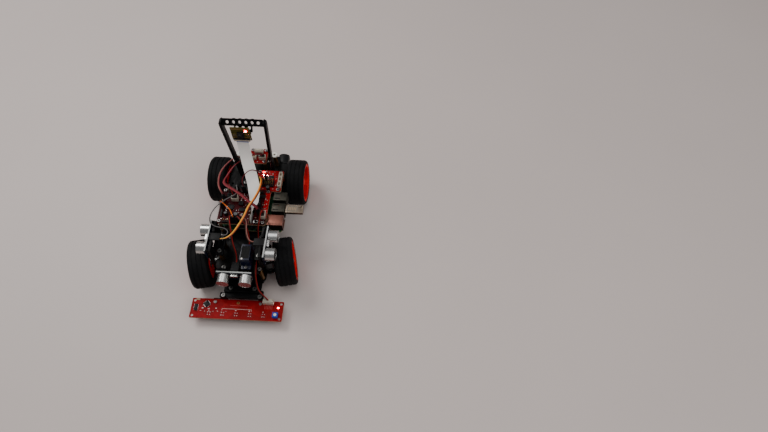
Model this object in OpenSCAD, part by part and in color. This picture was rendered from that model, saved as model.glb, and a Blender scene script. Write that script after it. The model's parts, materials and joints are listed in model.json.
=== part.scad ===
// Educational coding robot: a four-wheeled, steered line-following car.
// Origin: on the ground, under the middle of the car. +Z up, the nose points to -Y.

/* [Chassis] */
// Distance between the front and rear axles
wheelbase = 135; // [132:1:138]
// Distance between the middles of the front tyres with the wheels straight
track = 112; // [110:1:114]
// Thickness of the chassis plates
plate_t = 3; // [2.5:0.5:3]
// Height of the underside of the upper plate
deck_z = 46; // [46:0.5:47]
// Height of the underside of the lower plates
floor_z = 20; // [19:0.5:20]

/* [Wheels] */
// Outer diameter of the tyres
wheel_d = 65; // [63:0.5:65]
// Width of the tyres
wheel_w = 26; // [24:0.5:26]
// Radius of the red rims
rim_r = 27.6; // [26.5:0.1:28]

/* [Steering] */
// Angle that the front wheels stand turned to, towards the left side of the car
steer_rest = 12; // [-20:1:20]
// Distance of each kingpin from the middle of the car
kingpin_x = 34; // [33:0.5:35]
// Length of the steering arms and of the servo horn
steer_arm = 18; // [16:0.5:18]

/* [Line sensor] */
// Length of the line sensor board
bar_l = 122; // [110:1:124]
// Width of the line sensor board
bar_w = 28; // [24:1:28]
// Height of the top of the line sensor board
bar_z = 14; // [13:0.5:15]

/* [Camera arch] */
// Height of the middle of the crossbar
arch_z = 161; // [140:1:165]
// Half the width of the arch at the crossbar
arch_top_x = 27; // [26.5:0.5:28]
// Half the width of the arch at its feet
arch_foot_x = 22.5; // [22:0.5:23]
// Lean of the perforated crossbar from upright
bar_lean = 40; // [30:1:45]

/* [Hidden] */
$fn = 48;
eps = 0.05;

// --- places along the car -------------------------------------------------
front_axle_y = -53;
rear_axle_y = front_axle_y + wheelbase;
axle_z = wheel_d / 2;
deck_top = deck_z + plate_t;
floor_top = floor_z + plate_t;
wheel_offset = track / 2 - kingpin_x;
rear_wheel_x = 55.5;
spoke_face = wheel_w / 2 - 5;

// --- colours --------------------------------------------------------------
black_plastic = [0.05, 0.05, 0.055];
rubber_black = [0.07, 0.07, 0.075];
rim_red = [0.82, 0.07, 0.06];
board_red = [0.78, 0.04, 0.06];
board_green = [0.05, 0.28, 0.16];
board_blue = [0.05, 0.07, 0.16];
steel = [0.72, 0.73, 0.75];
brass = [0.78, 0.58, 0.28];
nylon = [0.92, 0.92, 0.89];

// --- fastener and board sizes ---------------------------------------------
m3_r = 1.5;
m3_hole = 1.65;
m3_head_r = 2.75;
m3_head_h = 2;
m25_hole = 1.35;
m25_head_r = 2.2;
pcb_t = 1.6;

// --- line sensor ----------------------------------------------------------
bar_x = -2.5;
bar_y = -113;
nose_front_y = -100.5;
nose_x0 = -21;
nose_x1 = 31;
bar_screw_x = [-32.5, 27.5];
bar_screw_y = -103.7;
hanger_screw_x = [-21, 27];
hanger_screw_y = -97.6;
hanger_t = 1.5;

// --- ultrasonic sensors ---------------------------------------------------
sonar_l = 46;
sonar_h = 20;
can_r = 8;
can_l = 12;
front_can_pitch = 29;
side_can_pitch = 26;
front_sonar = [-2.5, -83, 52];
side_sonar_x = 40;
right_sonar_x = 35.5;
side_sonar_z = 84;
left_sonar_y = -53;
right_sonar_y = -48;
shelf_z = 67;
foot_screw_x = [-12, 19];
foot_screw_y = -88;
bearing_r = 5.5;

// --- steering servo -------------------------------------------------------
servo_x = 12;
servo_shaft_y = -55;
servo_y0 = servo_shaft_y - 16.9;
servo_l = 22.8;
servo_w = 12.2;
servo_top_z = 77;
servo_z0 = 54.3;
ear_z = 58.6;
ear_t = 2.5;
ear_l = 4.7;
servo_posts = [servo_y0 - 2.4, servo_y0 + servo_l + 2.4];
horn_z = 38;
stem_r = 2.4;
arm_t = 3;
pin_r = 1.2;
tie_z = 34.6;
tie_t = 3;

// --- single-board computer and the board on it ----------------------------
cpu_x0 = -35;
cpu_y0 = -18;
cpu_l = 85;
cpu_w = 56;
cpu_z = 57;
cpu_t = 1.4;
hat_l = 65;
hat_z = 72.4;
board_hole_l = [3.5, 61.5];
board_hole_w = [3.5, 52.5];
slot_x = 10;
slot_half_w = 2.4;

// --- rear boards ----------------------------------------------------------
pwm_pos = [5.5, 40, 66.4];
pwm_size = [36, 35, pcb_t];
drv_pos = [-11, 87, 66.4];
drv_size = [25, 26, pcb_t];

// --- camera ---------------------------------------------------------------
arch_y = rear_axle_y;
arch_leg_w = 3.6;
arch_leg_d = 8;
arch_t = 2.2;
arch_pitch = 8;
arch_hole_r = 2.15;
cam_x = -3;
cam_y = 72.5;
cam_z0 = 137;
cam_size = [25, 1.2, 24];

// --- gear motors ----------------------------------------------------------
gear_x0 = 21.5;
gear_t = 18.8;
gear_h = 22.4;
gear_y0 = rear_axle_y - 11.3;
gear_l = 37;
can_end_y = 127.5;
shaft_r = 2.7;

// --- battery --------------------------------------------------------------
cell_r = 9.2;
cell_l = 65.2;
holder_l = 77;
holder_w = 41;
holder_y0 = -17;

// ===========================================================================
// Shared shapes
// ===========================================================================

// Rectangle with round corners, from [x0, y0] to [x1, y1]
module round_rect(x0, y0, x1, y1, r) {
    translate([x0 + r, y0]) square([x1 - x0 - 2 * r, y1 - y0]);
    translate([x0, y0 + r]) square([x1 - x0, y1 - y0 - 2 * r]);
    for (x = [x0 + r, x1 - r]) for (y = [y0 + r, y1 - r]) translate([x, y]) circle(r);
}

// Box from its lowest to its highest corner
module block(lo, hi) translate(lo) cube(hi - lo);

// Round bar between two heights
module post(x, y, z0, z1, r) translate([x, y, z0]) cylinder(r = r, h = z1 - z0);

// Hexagonal standoff
module hex_post(x, y, z0, z1, across) {
    translate([x, y, z0]) cylinder(d = across / cos(30), h = z1 - z0, $fn = 6);
}

// Pan head screw: its head sits on top of z and its shank reaches down
module screw(x, y, z, length, r = m3_r, head_r = m3_head_r, head_h = m3_head_h) {
    translate([x, y, z]) difference() {
        cylinder(r = head_r, h = head_h);
        translate([-head_r * 0.55, -0.35, head_h - 0.7]) cube([head_r * 1.1, 0.7, 1]);
        translate([-0.35, -head_r * 0.55, head_h - 0.7]) cube([0.7, head_r * 1.1, 1]);
    }
    translate([x, y, z - length]) cylinder(r = r, h = length);
}

// Catmull-Rom curve through hand-picked points, k steps per span
function spline_at(p, i, t) =
    let (n = len(p) - 1,
         a = i > 0 ? p[i - 1] : 2 * p[0] - p[1],
         b = p[i], c = p[i + 1],
         d = i + 2 <= n ? p[i + 2] : 2 * p[n] - p[n - 1])
    0.5 * (2 * b + (c - a) * t + (2 * a - 5 * b + 4 * c - d) * t * t
        + (3 * b - a - 3 * c + d) * t * t * t);
function spline(p, k) = concat(
    [for (i = [0 : len(p) - 2]) for (s = [0 : k - 1]) spline_at(p, i, s / k)], [p[len(p) - 1]]);
function unit(v) = v / norm(v);
// from and to are the directions square to the faces that the curve leaves and meets
function tangent(q, i, from, to) = unit(i == 0 ? from : i == len(q) - 1 ? to : q[i + 1] - q[i - 1]);
// A frame carried along the curve without twisting: each entry is the side vector
function side_from(prev, t) = unit(prev - (prev * t) * t);
function start_side(t) = side_from(abs(t[2]) < 0.8 ? [0, 0, 1] : [1, 0, 0], t);
function sides(q, from, to, i = 0, acc = []) =
    i == len(q) ? acc
    : sides(q, from, to, i + 1, concat(acc,
        [side_from(i == 0 ? start_side(from) : acc[i - 1], tangent(q, i, from, to))]));

// A closed tube swept along points
module tube(q, d, from, to, n = 8) {
    s = sides(q, from, to);
    pts = [for (i = [0 : len(q) - 1]) let (t = tangent(q, i, from, to), u = s[i], v = cross(t, u))
        for (j = [0 : n - 1]) q[i] + d / 2 * (u * cos(360 * j / n) + v * sin(360 * j / n))];
    last = (len(q) - 1) * n;
    faces = concat(
        [[for (j = [0 : n - 1]) j]],
        [[for (j = [n - 1 : -1 : 0]) last + j]],
        [for (i = [0 : len(q) - 2]) for (j = [0 : n - 1])
            [i * n + j, (i + 1) * n + j, (i + 1) * n + (j + 1) % n, i * n + (j + 1) % n]]);
    polyhedron(points = pts, faces = faces, convexity = 6);
}

// Turns children about the vertical through a kingpin or shaft
module steered(x, y, angle = steer_rest) {
    translate([x, y, 0]) rotate([0, 0, angle]) translate([-x, -y, 0]) children();
}

// ===========================================================================
// Chassis plates and what holds them together
// ===========================================================================

lower_posts = [[-20, -70], [27, -70], [-20, -24], [20, -24]];
rear_posts = [[-14, 66], [14, 66], [-14, 104], [14, 104]];
tall_posts = [[-24, 99], [25, 99]];
tall_post_top = 72;
cpu_posts = [for (x = board_hole_l) for (y = board_hole_w) [cpu_x0 + x, cpu_y0 + y]];
pwm_posts = [for (x = [3, 32]) for (y = [3, 32]) [pwm_pos[0] + x, pwm_pos[1] + y]];
drv_posts = [for (x = [3, 22]) for (y = [3, 23]) [drv_pos[0] + x, drv_pos[1] + y]];
shelf_posts = [[-23.5, -57], [-23.5, -39], [28, -62], [28, -44]];
deck_holes = [[-33, 48], [-33, 64], [-21, 48], [-21, 64]];
deck_w = 40;
neck_w = 31;
tail_w = 28;
deck_front_y = -76.8;
deck_rear_y = 115;
ear_r = 8.5;
tyre_clear_r = 13;

module plate_ears() for (s = [-1, 1]) {
    translate([s * kingpin_x, front_axle_y]) circle(ear_r);
    translate([s > 0 ? 0 : -kingpin_x, front_axle_y - ear_r]) square([kingpin_x, 2 * ear_r]);
}
// where the front tyres swing
module tyre_cuts(r) for (s = [-1, 1]) for (y = [-25, 25]) translate([s * 40, front_axle_y + y]) circle(r);
module kingpin_holes() for (s = [-1, 1]) translate([s * kingpin_x, front_axle_y]) circle(bearing_r);

module upper_plate() color(black_plastic) translate([0, 0, deck_z]) linear_extrude(plate_t) difference() {
    union() {
        difference() {
            round_rect(-neck_w, deck_front_y, neck_w, -10, 3);
            tyre_cuts(tyre_clear_r);
        }
        plate_ears();
        round_rect(-deck_w, -14, deck_w, 86, 4);
        round_rect(-tail_w, 60, tail_w, deck_rear_y, 4);
        for (p = cpu_posts) translate(p) circle(4.5);
    }
    // stem of the servo horn, servo posts and a cable slot
    translate([servo_x, servo_shaft_y]) circle(4);
    for (y = servo_posts) translate([servo_x, y]) circle(1.35);
    round_rect(-30, 39, -14, 44, 2.4);
    for (p = concat(lower_posts, rear_posts, tall_posts, cpu_posts, pwm_posts, drv_posts, shelf_posts,
            deck_holes)) translate(p) circle(m3_hole);
    for (s = [-1, 1]) translate([s * (arch_foot_x - 6), arch_y]) circle(m3_hole);
    kingpin_holes();
}

module front_lower_plate() color(black_plastic) translate([0, 0, floor_z]) linear_extrude(plate_t)
    difference() {
    union() {
        round_rect(nose_x0, nose_front_y, nose_x1, -88.5, 2);
        round_rect(nose_x0, -92, 27, -60, 2);
        difference() {
            round_rect(-neck_w, -76, neck_w, -18, 3);
            tyre_cuts(tyre_clear_r - 1);
        }
        plate_ears();
        // tab over the left hanger of the line sensor
        round_rect(-26, nose_front_y, -15, -93, 1.5);
    }
    for (p = lower_posts) translate(p) circle(m3_hole);
    for (x = hanger_screw_x) translate([x, hanger_screw_y]) circle(m3_hole);
    for (x = foot_screw_x) translate([x, foot_screw_y]) circle(m3_hole);
    round_rect(-12, -50, 12, -30, 3);
    kingpin_holes();
}

module rear_lower_plate() color(black_plastic) translate([0, 0, floor_z - plate_t])
    linear_extrude(plate_t) difference() {
    round_rect(-38, 61, 38, 109, 4);
    for (p = rear_posts) translate(p) circle(m3_hole);
    round_rect(-6, 74, 6, 98, 3);
    for (s = [-1, 1]) for (y = bracket_screw_y) translate([s * bracket_screw_x, y]) circle(m3_hole);
}

module plate_standoffs() color(brass) {
    for (p = lower_posts) hex_post(p[0], p[1], floor_top, deck_z, 5.5);
    for (p = rear_posts) hex_post(p[0], p[1], floor_z, deck_z, 5.5);
    for (p = shelf_posts) hex_post(p[0], p[1], deck_top, shelf_z, 5.5);
    for (p = cpu_posts) hex_post(p[0], p[1], deck_top, cpu_z, 4.5);
    for (p = cpu_posts) hex_post(p[0], p[1], cpu_z + cpu_t, hat_z, 4.5);
    for (p = pwm_posts) hex_post(p[0], p[1], deck_top, pwm_pos[2], 4.5);
    for (p = drv_posts) hex_post(p[0], p[1], deck_top, drv_pos[2], 4.5);
    for (y = servo_posts) hex_post(servo_x, y, deck_top, ear_z, 4);
    for (p = tall_posts) difference() {
        hex_post(p[0], p[1], deck_top, tall_post_top, 5.5);
        post(p[0], p[1], tall_post_top - 8, tall_post_top + 1, 1.25);
    }
}

// White nylon washers on top of the two tall rear posts
module post_caps() color(nylon) for (p = tall_posts) difference() {
    post(p[0], p[1], tall_post_top, tall_post_top + 2.4, 4.3);
    post(p[0], p[1], tall_post_top - 1, tall_post_top + 4, 1.7);
}

module chassis_screws() color(steel) {
    // plate screws stop just short of the posts they hold
    for (p = concat(lower_posts, rear_posts)) screw(p[0], p[1], deck_top, plate_t);
    for (p = cpu_posts) screw(p[0], p[1], hat_z + pcb_t, pcb_t, 1.2, m25_head_r, 1.6);
    for (p = pwm_posts) screw(p[0], p[1], pwm_pos[2] + pcb_t, pcb_t, 1.2, m25_head_r, 1.6);
    for (p = drv_posts) screw(p[0], p[1], drv_pos[2] + pcb_t, pcb_t, 1.2, m25_head_r, 1.6);
    for (p = shelf_posts) screw(p[0], p[1], shelf_z + plate_t, plate_t);
    for (x = hanger_screw_x) screw(x, hanger_screw_y, floor_top, plate_t + hanger_t);
    for (x = bar_screw_x) screw(x, bar_screw_y, bar_z, pcb_t + hanger_t, 1.2, 1.9, 1.3);
    for (x = foot_screw_x) screw(x, foot_screw_y, floor_top + plate_t, 2 * plate_t);
    // camera arch feet
    for (s = [-1, 1]) screw(s * (arch_foot_x - 6), arch_y, deck_top + arch_t, arch_t + plate_t - 0.5);
    // from below
    for (p = lower_posts) translate([p[0], p[1], floor_z - m3_head_h]) cylinder(r = m3_head_r, h = m3_head_h);
    for (p = rear_posts) translate([p[0], p[1], floor_z - plate_t - m3_head_h])
        cylinder(r = m3_head_r, h = m3_head_h);
    for (y = servo_posts) screw(servo_x, y, ear_z + ear_t, ear_t, 1, 2.1, 1.6);
    // bolts through the gearboxes into their brackets
    for (s = [-1, 1]) for (z = bolt_dz) translate([s * gear_x1, gear_bolt_y, axle_z + z])
        rotate([0, s * 90, 0]) {
        cylinder(r = m3_head_r, h = 1.6);
        translate([0, 0, -gear_t - plate_t]) cylinder(r = 1.45, h = gear_t + plate_t);
    }
    for (s = [-1, 1]) for (y = bracket_screw_y) screw(s * bracket_screw_x, y, floor_z + 2, plate_t + 2);
}

// Flanged bearings that the kingpins turn in, one in each plate on each side
module flanged_bearing(flange_up) {
    difference() {
        union() {
            cylinder(r = bearing_r, h = plate_t);
            translate([0, 0, flange_up ? plate_t : -1]) cylinder(r = bearing_r + 0.8, h = 1);
        }
        translate([0, 0, -2]) cylinder(r = 2.06, h = plate_t + 4);
    }
}
module kingpin_bearings() color(steel) for (s = [-1, 1]) {
    translate([s * kingpin_x, front_axle_y, deck_z]) flanged_bearing(true);
    translate([s * kingpin_x, front_axle_y, floor_z]) flanged_bearing(false);
}

// ===========================================================================
// Line sensor
// ===========================================================================

module line_sensor_board() color(board_red) difference() {
    translate([0, 0, bar_z - pcb_t]) linear_extrude(pcb_t)
        round_rect(bar_x - bar_l / 2, bar_y - bar_w / 2, bar_x + bar_l / 2, bar_y + bar_w / 2, 1.5);
    for (s = [-1, 1]) for (y = [-1, 1])
        post(bar_x + s * (bar_l / 2 - 3.5), bar_y + y * (bar_w / 2 - 3.5), 0, bar_z + 1, m3_hole);
    for (x = bar_screw_x) post(x, bar_screw_y, 0, bar_z + 1, m25_hole);
}

// Two bent steel hangers, from under the nose down and forward under the sensor board
hanger_x = [[-36.5, -26, -17], [23.5, 23.5, 31.5]];
module bar_hangers() color([0.08, 0.08, 0.085]) difference() {
    web_y = bar_y + bar_w / 2 + 0.4;
    foot_z = bar_z - pcb_t - hanger_t;
    for (x = hanger_x) {
        block([x[1], nose_front_y + 1.9, floor_z - hanger_t], [x[2], -93, floor_z]);
        block([x[1], web_y, foot_z], [x[2], web_y + hanger_t, floor_z]);
        block([x[0], bar_screw_y - 4, foot_z], [x[2], web_y + hanger_t, foot_z + hanger_t]);
    }
    for (x = hanger_screw_x) post(x, hanger_screw_y, floor_z - 3, floor_z + 1, m3_hole);
    for (x = bar_screw_x) post(x, bar_screw_y, 0, bar_z, m25_hole);
}

// Five reflective sensors under the board
sensor_pitch = 18;
module line_sensor_emitters() color(black_plastic) for (i = [-2 : 2]) {
    x = bar_x + i * sensor_pitch;
    difference() {
        block([x - 5.1, bar_y - 11.5, bar_z - pcb_t - 7], [x + 5.1, bar_y - 5.7, bar_z - pcb_t]);
        for (s = [-1, 1]) post(x + s * 2.6, bar_y - 8.6, bar_z - pcb_t - 8, bar_z - pcb_t - 5.5, 1.6);
    }
}

trimmer = [bar_x + bar_l / 2 - 9, bar_y - 6.5, bar_z];
trimmer_w = 7;
trimmer_h = 5;
module trimmer_body() color([0.1, 0.2, 0.75]) translate(trimmer) difference() {
    block([-trimmer_w / 2, -trimmer_w / 2, 0], [trimmer_w / 2, trimmer_w / 2, trimmer_h]);
    translate([0, 0, trimmer_h - 1.6]) cylinder(r = 1.9, h = 3);
}
module trimmer_screw() color([0.9, 0.9, 0.86]) translate(trimmer) difference() {
    translate([0, 0, trimmer_h - 1.55]) cylinder(r = 1.84, h = 1.5);
    block([-1.4, -0.3, trimmer_h - 0.7], [1.4, 0.3, trimmer_h + 1]);
    block([-0.3, -1.4, trimmer_h - 0.7], [0.3, 1.4, trimmer_h + 1]);
}

// ===========================================================================
// Ultrasonic sensors. A sensor is drawn facing -Y, its board's front face in the plane y = 0
// ===========================================================================

module sonar_board_shape() difference() {
    rotate([90, 0, 0]) translate([0, 0, -pcb_t]) linear_extrude(pcb_t)
        round_rect(-sonar_l / 2, -sonar_h / 2, sonar_l / 2, sonar_h / 2, 1);
    for (s = [-1, 1]) for (z = [-1, 1]) translate([s * (sonar_l / 2 - 2), -1, z * (sonar_h / 2 - 2)])
        rotate([-90, 0, 0]) cylinder(r = 0.9, h = pcb_t + 2);
}

// Two transducers and the crystal between them
module sonar_cans_shape(pitch) {
    for (s = [-1, 1]) translate([s * pitch / 2, 0, 0]) rotate([90, 0, 0]) difference() {
        union() {
            cylinder(r = can_r, h = can_l);
            cylinder(r = can_r + 0.35, h = 1.2);
        }
        translate([0, 0, can_l - 2.2]) cylinder(r = can_r - 0.9, h = 3);
    }
    translate([0, 0, 4.5]) rotate([90, 0, 0]) linear_extrude(3.5) {
        translate([-3.2, -1.9]) square([6.4, 3.8]);
        for (s = [-1, 1]) translate([s * 3.2, 0]) circle(1.9);
    }
}

module at_front_sonar() translate(front_sonar) children();
module at_left_sonar() translate([side_sonar_x, left_sonar_y, side_sonar_z]) rotate([0, 0, 90]) children();
module at_right_sonar() translate([-right_sonar_x, right_sonar_y, side_sonar_z])
    rotate([0, 0, -90]) children();

module sonar_boards() color(board_blue) {
    at_front_sonar() sonar_board_shape();
    at_left_sonar() sonar_board_shape();
    at_right_sonar() sonar_board_shape();
}
module sonar_cans() color(steel) {
    at_front_sonar() sonar_cans_shape(front_can_pitch);
    at_left_sonar() sonar_cans_shape(side_can_pitch);
    at_right_sonar() sonar_cans_shape(side_can_pitch);
}

// Bracket that stands on the nose: foot, and an upright with two arms and spacers to the board
spacer_l = 2;
upright_t = 2;
upright_y = front_sonar[1] + pcb_t + spacer_l;
module front_sonar_bracket() color(black_plastic) {
    corner_x = sonar_l / 2 - 2;
    corner_z = sonar_h / 2 - 2;
    difference() {
        union() {
            block([nose_x0, -93, floor_top], [26, upright_y + upright_t, floor_top + plate_t]);
            block([-25.5, upright_y, floor_top], [20.5, upright_y + upright_t, front_sonar[2] + 5]);
            block([-25.5, upright_y, floor_top],
                [-14.5, upright_y + upright_t, front_sonar[2] + sonar_h / 2]);
            for (c = [[-1, -1], [1, -1], [-1, 1]])
                translate([front_sonar[0] + c[0] * corner_x, upright_y + eps, front_sonar[2] + c[1] *
                    corner_z])
                    rotate([90, 0, 0]) cylinder(r = 1.9, h = spacer_l + eps);
        }
        for (x = foot_screw_x) post(x, foot_screw_y, floor_z, floor_top + plate_t + 1, m3_hole);
        block([-14.5, upright_y - 1, 32], [9.5, upright_y + upright_t + 1, 41]);
        block([-14.5, upright_y - 1, 46], [9.5, upright_y + upright_t + 1, 70]);
    }
}

// Side shelf: a flat arm on two posts, turned up at its end to carry the sensor
module shelf(s, sonar_x, y, holes) {
    x1 = sonar_x - pcb_t - spacer_l - 1;
    x0 = x1 - plate_t;
    mirror([s < 0 ? 1 : 0, 0, 0]) difference() {
        union() {
            block([abs(holes[0][0]) - 5, y - 14, shelf_z], [x1, y + 14, shelf_z + plate_t]);
            block([x0, y - 22, shelf_z], [x1, y + 22, side_sonar_z + 9]);
            for (a = [-1, 1]) for (z = [-1, 1])
                translate([x1 - eps, y + a * (sonar_l / 2 - 2), side_sonar_z + z * (sonar_h / 2 - 2)])
                    rotate([0, 90, 0]) cylinder(r = 1.9, h = spacer_l + 1 + eps);
        }
        for (p = holes) post(abs(p[0]), p[1], shelf_z - 1, shelf_z + plate_t + 1, m3_hole);
        block([x0 - 1, y - 12, side_sonar_z - 8], [x1 + 1, y + 12, side_sonar_z + 2]);
        block([x0 - 1, y - 6.5, side_sonar_z], [x1 + 1, y + 6.5, side_sonar_z + 12]);
    }
}
module left_sonar_bracket() color(black_plastic)
    shelf(1, side_sonar_x, left_sonar_y, [shelf_posts[2], shelf_posts[3]]);
module right_sonar_bracket() color(black_plastic)
    shelf(-1, right_sonar_x, right_sonar_y, [shelf_posts[0], shelf_posts[1]]);

// ===========================================================================
// Camera on its arch
// ===========================================================================

// Places children in the leaning plane of the crossbar, x across and y up the slope
module on_crossbar() translate([0, arch_y, arch_z]) rotate([90 - bar_lean, 0, 0]) children();

bar_half_d = 4.6;
module camera_arch() color(black_plastic) {
    on_crossbar() translate([0, 0, -arch_t / 2]) linear_extrude(arch_t) difference() {
        hull() {
            round_rect(-arch_top_x - 1, -bar_half_d, 0, bar_half_d, 1.5);
            translate([arch_top_x + 1 - 4.4, bar_half_d - 4.4]) circle(4.4);
            translate([arch_top_x - 0.5, 1.5 - bar_half_d]) circle(1.5);
        }
        for (i = [-2.5 : 2.5]) translate([i * arch_pitch, 0]) circle(arch_hole_r);
    }
    for (s = [-1, 1]) {
        // leg from the foot up to the crossbar's end
        translate([0, arch_y + arch_leg_d / 2, 0]) rotate([90, 0, 0]) linear_extrude(arch_leg_d)
            polygon([
                [s * (arch_foot_x - arch_leg_w / 2), deck_top],
                [s * (arch_foot_x + arch_leg_w / 2), deck_top],
                [s * (arch_top_x + arch_leg_w), arch_z - 6],
                [s * (arch_top_x + arch_leg_w), arch_z + 1],
                [s * (arch_top_x + arch_leg_w - 2.5), arch_z + 3.5],
                [s * arch_top_x, arch_z + 3.5],
                [s * arch_top_x, arch_z - 6],
            ]);
        difference() {
            block([s > 0 ? arch_foot_x - 11 : -arch_foot_x, arch_y - arch_leg_d / 2, deck_top],
                [s > 0 ? arch_foot_x : -arch_foot_x + 11, arch_y + arch_leg_d / 2, deck_top + arch_t]);
            post(s * (arch_foot_x - 6), arch_y, deck_top - 1, deck_top + 5, m3_hole);
        }
    }
}

// Perforated strip with a scalloped edge that hangs the camera from the crossbar
hanger_y = cam_y + cam_size[1] + 1.7;
module camera_bracket() color(black_plastic) {
    on_crossbar() translate([0, 0, -arch_t / 2 - 2]) linear_extrude(2) difference() {
        union() {
            for (i = [-1.5 : 1.5]) translate([i * arch_pitch, 0]) circle(5);
            translate([-12, -12.5]) square([24, 12.5]);
        }
        for (i = [-1.5 : 1.5]) translate([i * arch_pitch, 0]) circle(arch_hole_r);
        for (i = [-1 : 1]) translate([i * arch_pitch, -7]) circle(arch_hole_r);
    }
    block([cam_x - 12.5, hanger_y, cam_z0 + 9], [cam_x + 12.5, hanger_y + 2, cam_z0 + 16]);
    for (s = [-1, 1]) translate([cam_x + s * 10.5, hanger_y + eps, cam_z0 + 14.5]) rotate([90, 0, 0])
        cylinder(r = 1.8, h = 1.7 + eps);
}

module camera_board() color([0.16, 0.22, 0.08]) {
    difference() {
        block([cam_x - cam_size[0] / 2, cam_y, cam_z0],
            [cam_x + cam_size[0] / 2, cam_y + cam_size[1], cam_z0 + cam_size[2]]);
        for (s = [-1, 1]) for (z = [2, 14.5])
            translate([cam_x + s * 10.5, cam_y - 1, cam_z0 + z])
                rotate([-90, 0, 0]) cylinder(r = 1.05, h = 4);
    }
}

lens_z = cam_z0 + 12;
module camera_lens() color([0.06, 0.06, 0.07]) {
    difference() {
        union() {
            block([cam_x - 4.3, cam_y - 3.4, lens_z - 4.3], [cam_x + 4.3, cam_y, lens_z + 4.3]);
            translate([cam_x, cam_y - 3.4, lens_z]) rotate([90, 0, 0]) cylinder(r = 3.7, h = 2);
        }
        translate([cam_x, cam_y - 4.6, lens_z]) rotate([90, 0, 0]) cylinder(r = 1.9, h = 3);
    }
    // flex connector below the lens and the ribbon socket at the bottom edge
    block([cam_x - 3, cam_y - 1.6, cam_z0 + 4.2], [cam_x + 3, cam_y, cam_z0 + 6.8]);
    block([cam_x - 10.5, cam_y - 2.6, cam_z0 + 0.3], [cam_x + 10.5, cam_y, cam_z0 + 3.5]);
}

// Flat ribbon from the socket under the camera down through the slot in the upper board
ribbon_w = 16;
ribbon_t = 0.4;
ribbon_route = [[-3, 71.2, 137.3], [-3, 70, 131], [0, 60, 114], [6, 44, 101], [11, 28, 92],
    [12.5, 14, 86], [11, 3, 81], [10, -4, 76], [10, -6.5, 70], [10, -6.5, 63.4]];
ribbon_turn = [0, 0, 0, 0, 12, 55, 85, 90, 90, 90];
function turn_at(i, k) = let (a = floor(i / k), t = (i % k) / k)
    a >= len(ribbon_turn) - 1 ? ribbon_turn[len(ribbon_turn) - 1]
    : ribbon_turn[a] * (1 - t) + ribbon_turn[a + 1] * t;
module camera_ribbon() color([0.93, 0.93, 0.9]) {
    k = 3;
    q = spline(ribbon_route, k);
    pts = [for (i = [0 : len(q) - 1]) let (
            t = tangent(q, i, [0, 0, -1], [0, 0, -1]), a = turn_at(i, k),
            want = [cos(a), -sin(a), 0],
            u = unit(want - (want * t) * t), v = cross(t, u))
        for (c = [[-1, -1], [1, -1], [1, 1], [-1, 1]])
            q[i] + c[0] * ribbon_w / 2 * u + c[1] * ribbon_t / 2 * v];
    last = (len(q) - 1) * 4;
    faces = concat([[0, 1, 2, 3]], [[last + 3, last + 2, last + 1, last]],
        [for (i = [0 : len(q) - 2]) for (j = [0 : 3])
            let (a = i * 4 + j, b = i * 4 + (j + 1) % 4, c = b + 4, d = a + 4)
            // both wide faces are cut along the same diagonal, or the twist would make them cross
            each (j == 2 ? [[a, d, b], [d, c, b]] : [[a, d, c], [a, c, b]])]);
    polyhedron(points = pts, faces = faces, convexity = 6);
}

// ===========================================================================
// Single-board computer, driver board on top of it, and the two rear boards
// ===========================================================================

module board_with_holes(x0, y0, l, w, t, r, holes, hole_r) difference() {
    linear_extrude(t) round_rect(x0, y0, x0 + l, y0 + w, r);
    for (p = holes) translate([p[0], p[1], -1]) cylinder(r = hole_r, h = t + 2);
}

module computer_board() color(board_green) translate([0, 0, cpu_z])
    board_with_holes(cpu_x0, cpu_y0, cpu_l, cpu_w, cpu_t, 3, cpu_posts, m25_hole);

// Two double USB sockets and the network socket along the left side of the car
cpu_top = cpu_z + cpu_t;
usb_x0 = cpu_x0 + 69.5;
usb_l = 17.5;
usb_y = [cpu_y0 + 29, cpu_y0 + 47];
net_y = cpu_y0 + 10.25;
module computer_sockets() color(steel) {
    for (y = usb_y) difference() {
        block([usb_x0, y - 6.6, cpu_top], [usb_x0 + usb_l, y + 6.6, cpu_top + 15.6]);
        for (z = [1.6, 8.8]) block([usb_x0 + 3, y - 6, cpu_top + z],
            [usb_x0 + usb_l + 1, y + 6, cpu_top + z + 5]);
    }
    difference() {
        block([usb_x0 - 4, net_y - 8, cpu_top], [usb_x0 + usb_l, net_y + 8, cpu_top + 13.5]);
        block([usb_x0 + 4, net_y - 6, cpu_top + 2], [usb_x0 + usb_l + 1, net_y + 6, cpu_top + 10.5]);
    }
    // power and video sockets on the front edge
    block([cpu_x0 + 6.9, cpu_y0 - 1.2, cpu_top], [cpu_x0 + 14.3, cpu_y0 + 4.4, cpu_top + 2.8]);
    block([cpu_x0 + 24.5, cpu_y0 - 1.3, cpu_top], [cpu_x0 + 39.5, cpu_y0 + 10, cpu_top + 6]);
}

module driver_hat_board() color(board_red) difference() {
    translate([0, 0, hat_z]) board_with_holes(cpu_x0, cpu_y0, hat_l, cpu_w, pcb_t, 3, cpu_posts, m25_hole);
    block([slot_x - slot_half_w, cpu_y0 + 2, hat_z - 1], [slot_x + slot_half_w, cpu_y0 + 24, hat_z + 3]);
}

module pwm_board() color(board_red) translate([0, 0, pwm_pos[2]])
    board_with_holes(pwm_pos[0], pwm_pos[1], pwm_size[0], pwm_size[1], pcb_t, 2, pwm_posts, m25_hole);

module motor_driver_board() color(board_red) translate([0, 0, drv_pos[2]])
    board_with_holes(drv_pos[0], drv_pos[1], drv_size[0], drv_size[1], pcb_t, 1.5, drv_posts, m25_hole);

hat_top = hat_z + pcb_t;
pwm_top = pwm_pos[2] + pcb_t;
drv_top = drv_pos[2] + pcb_t;

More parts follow.
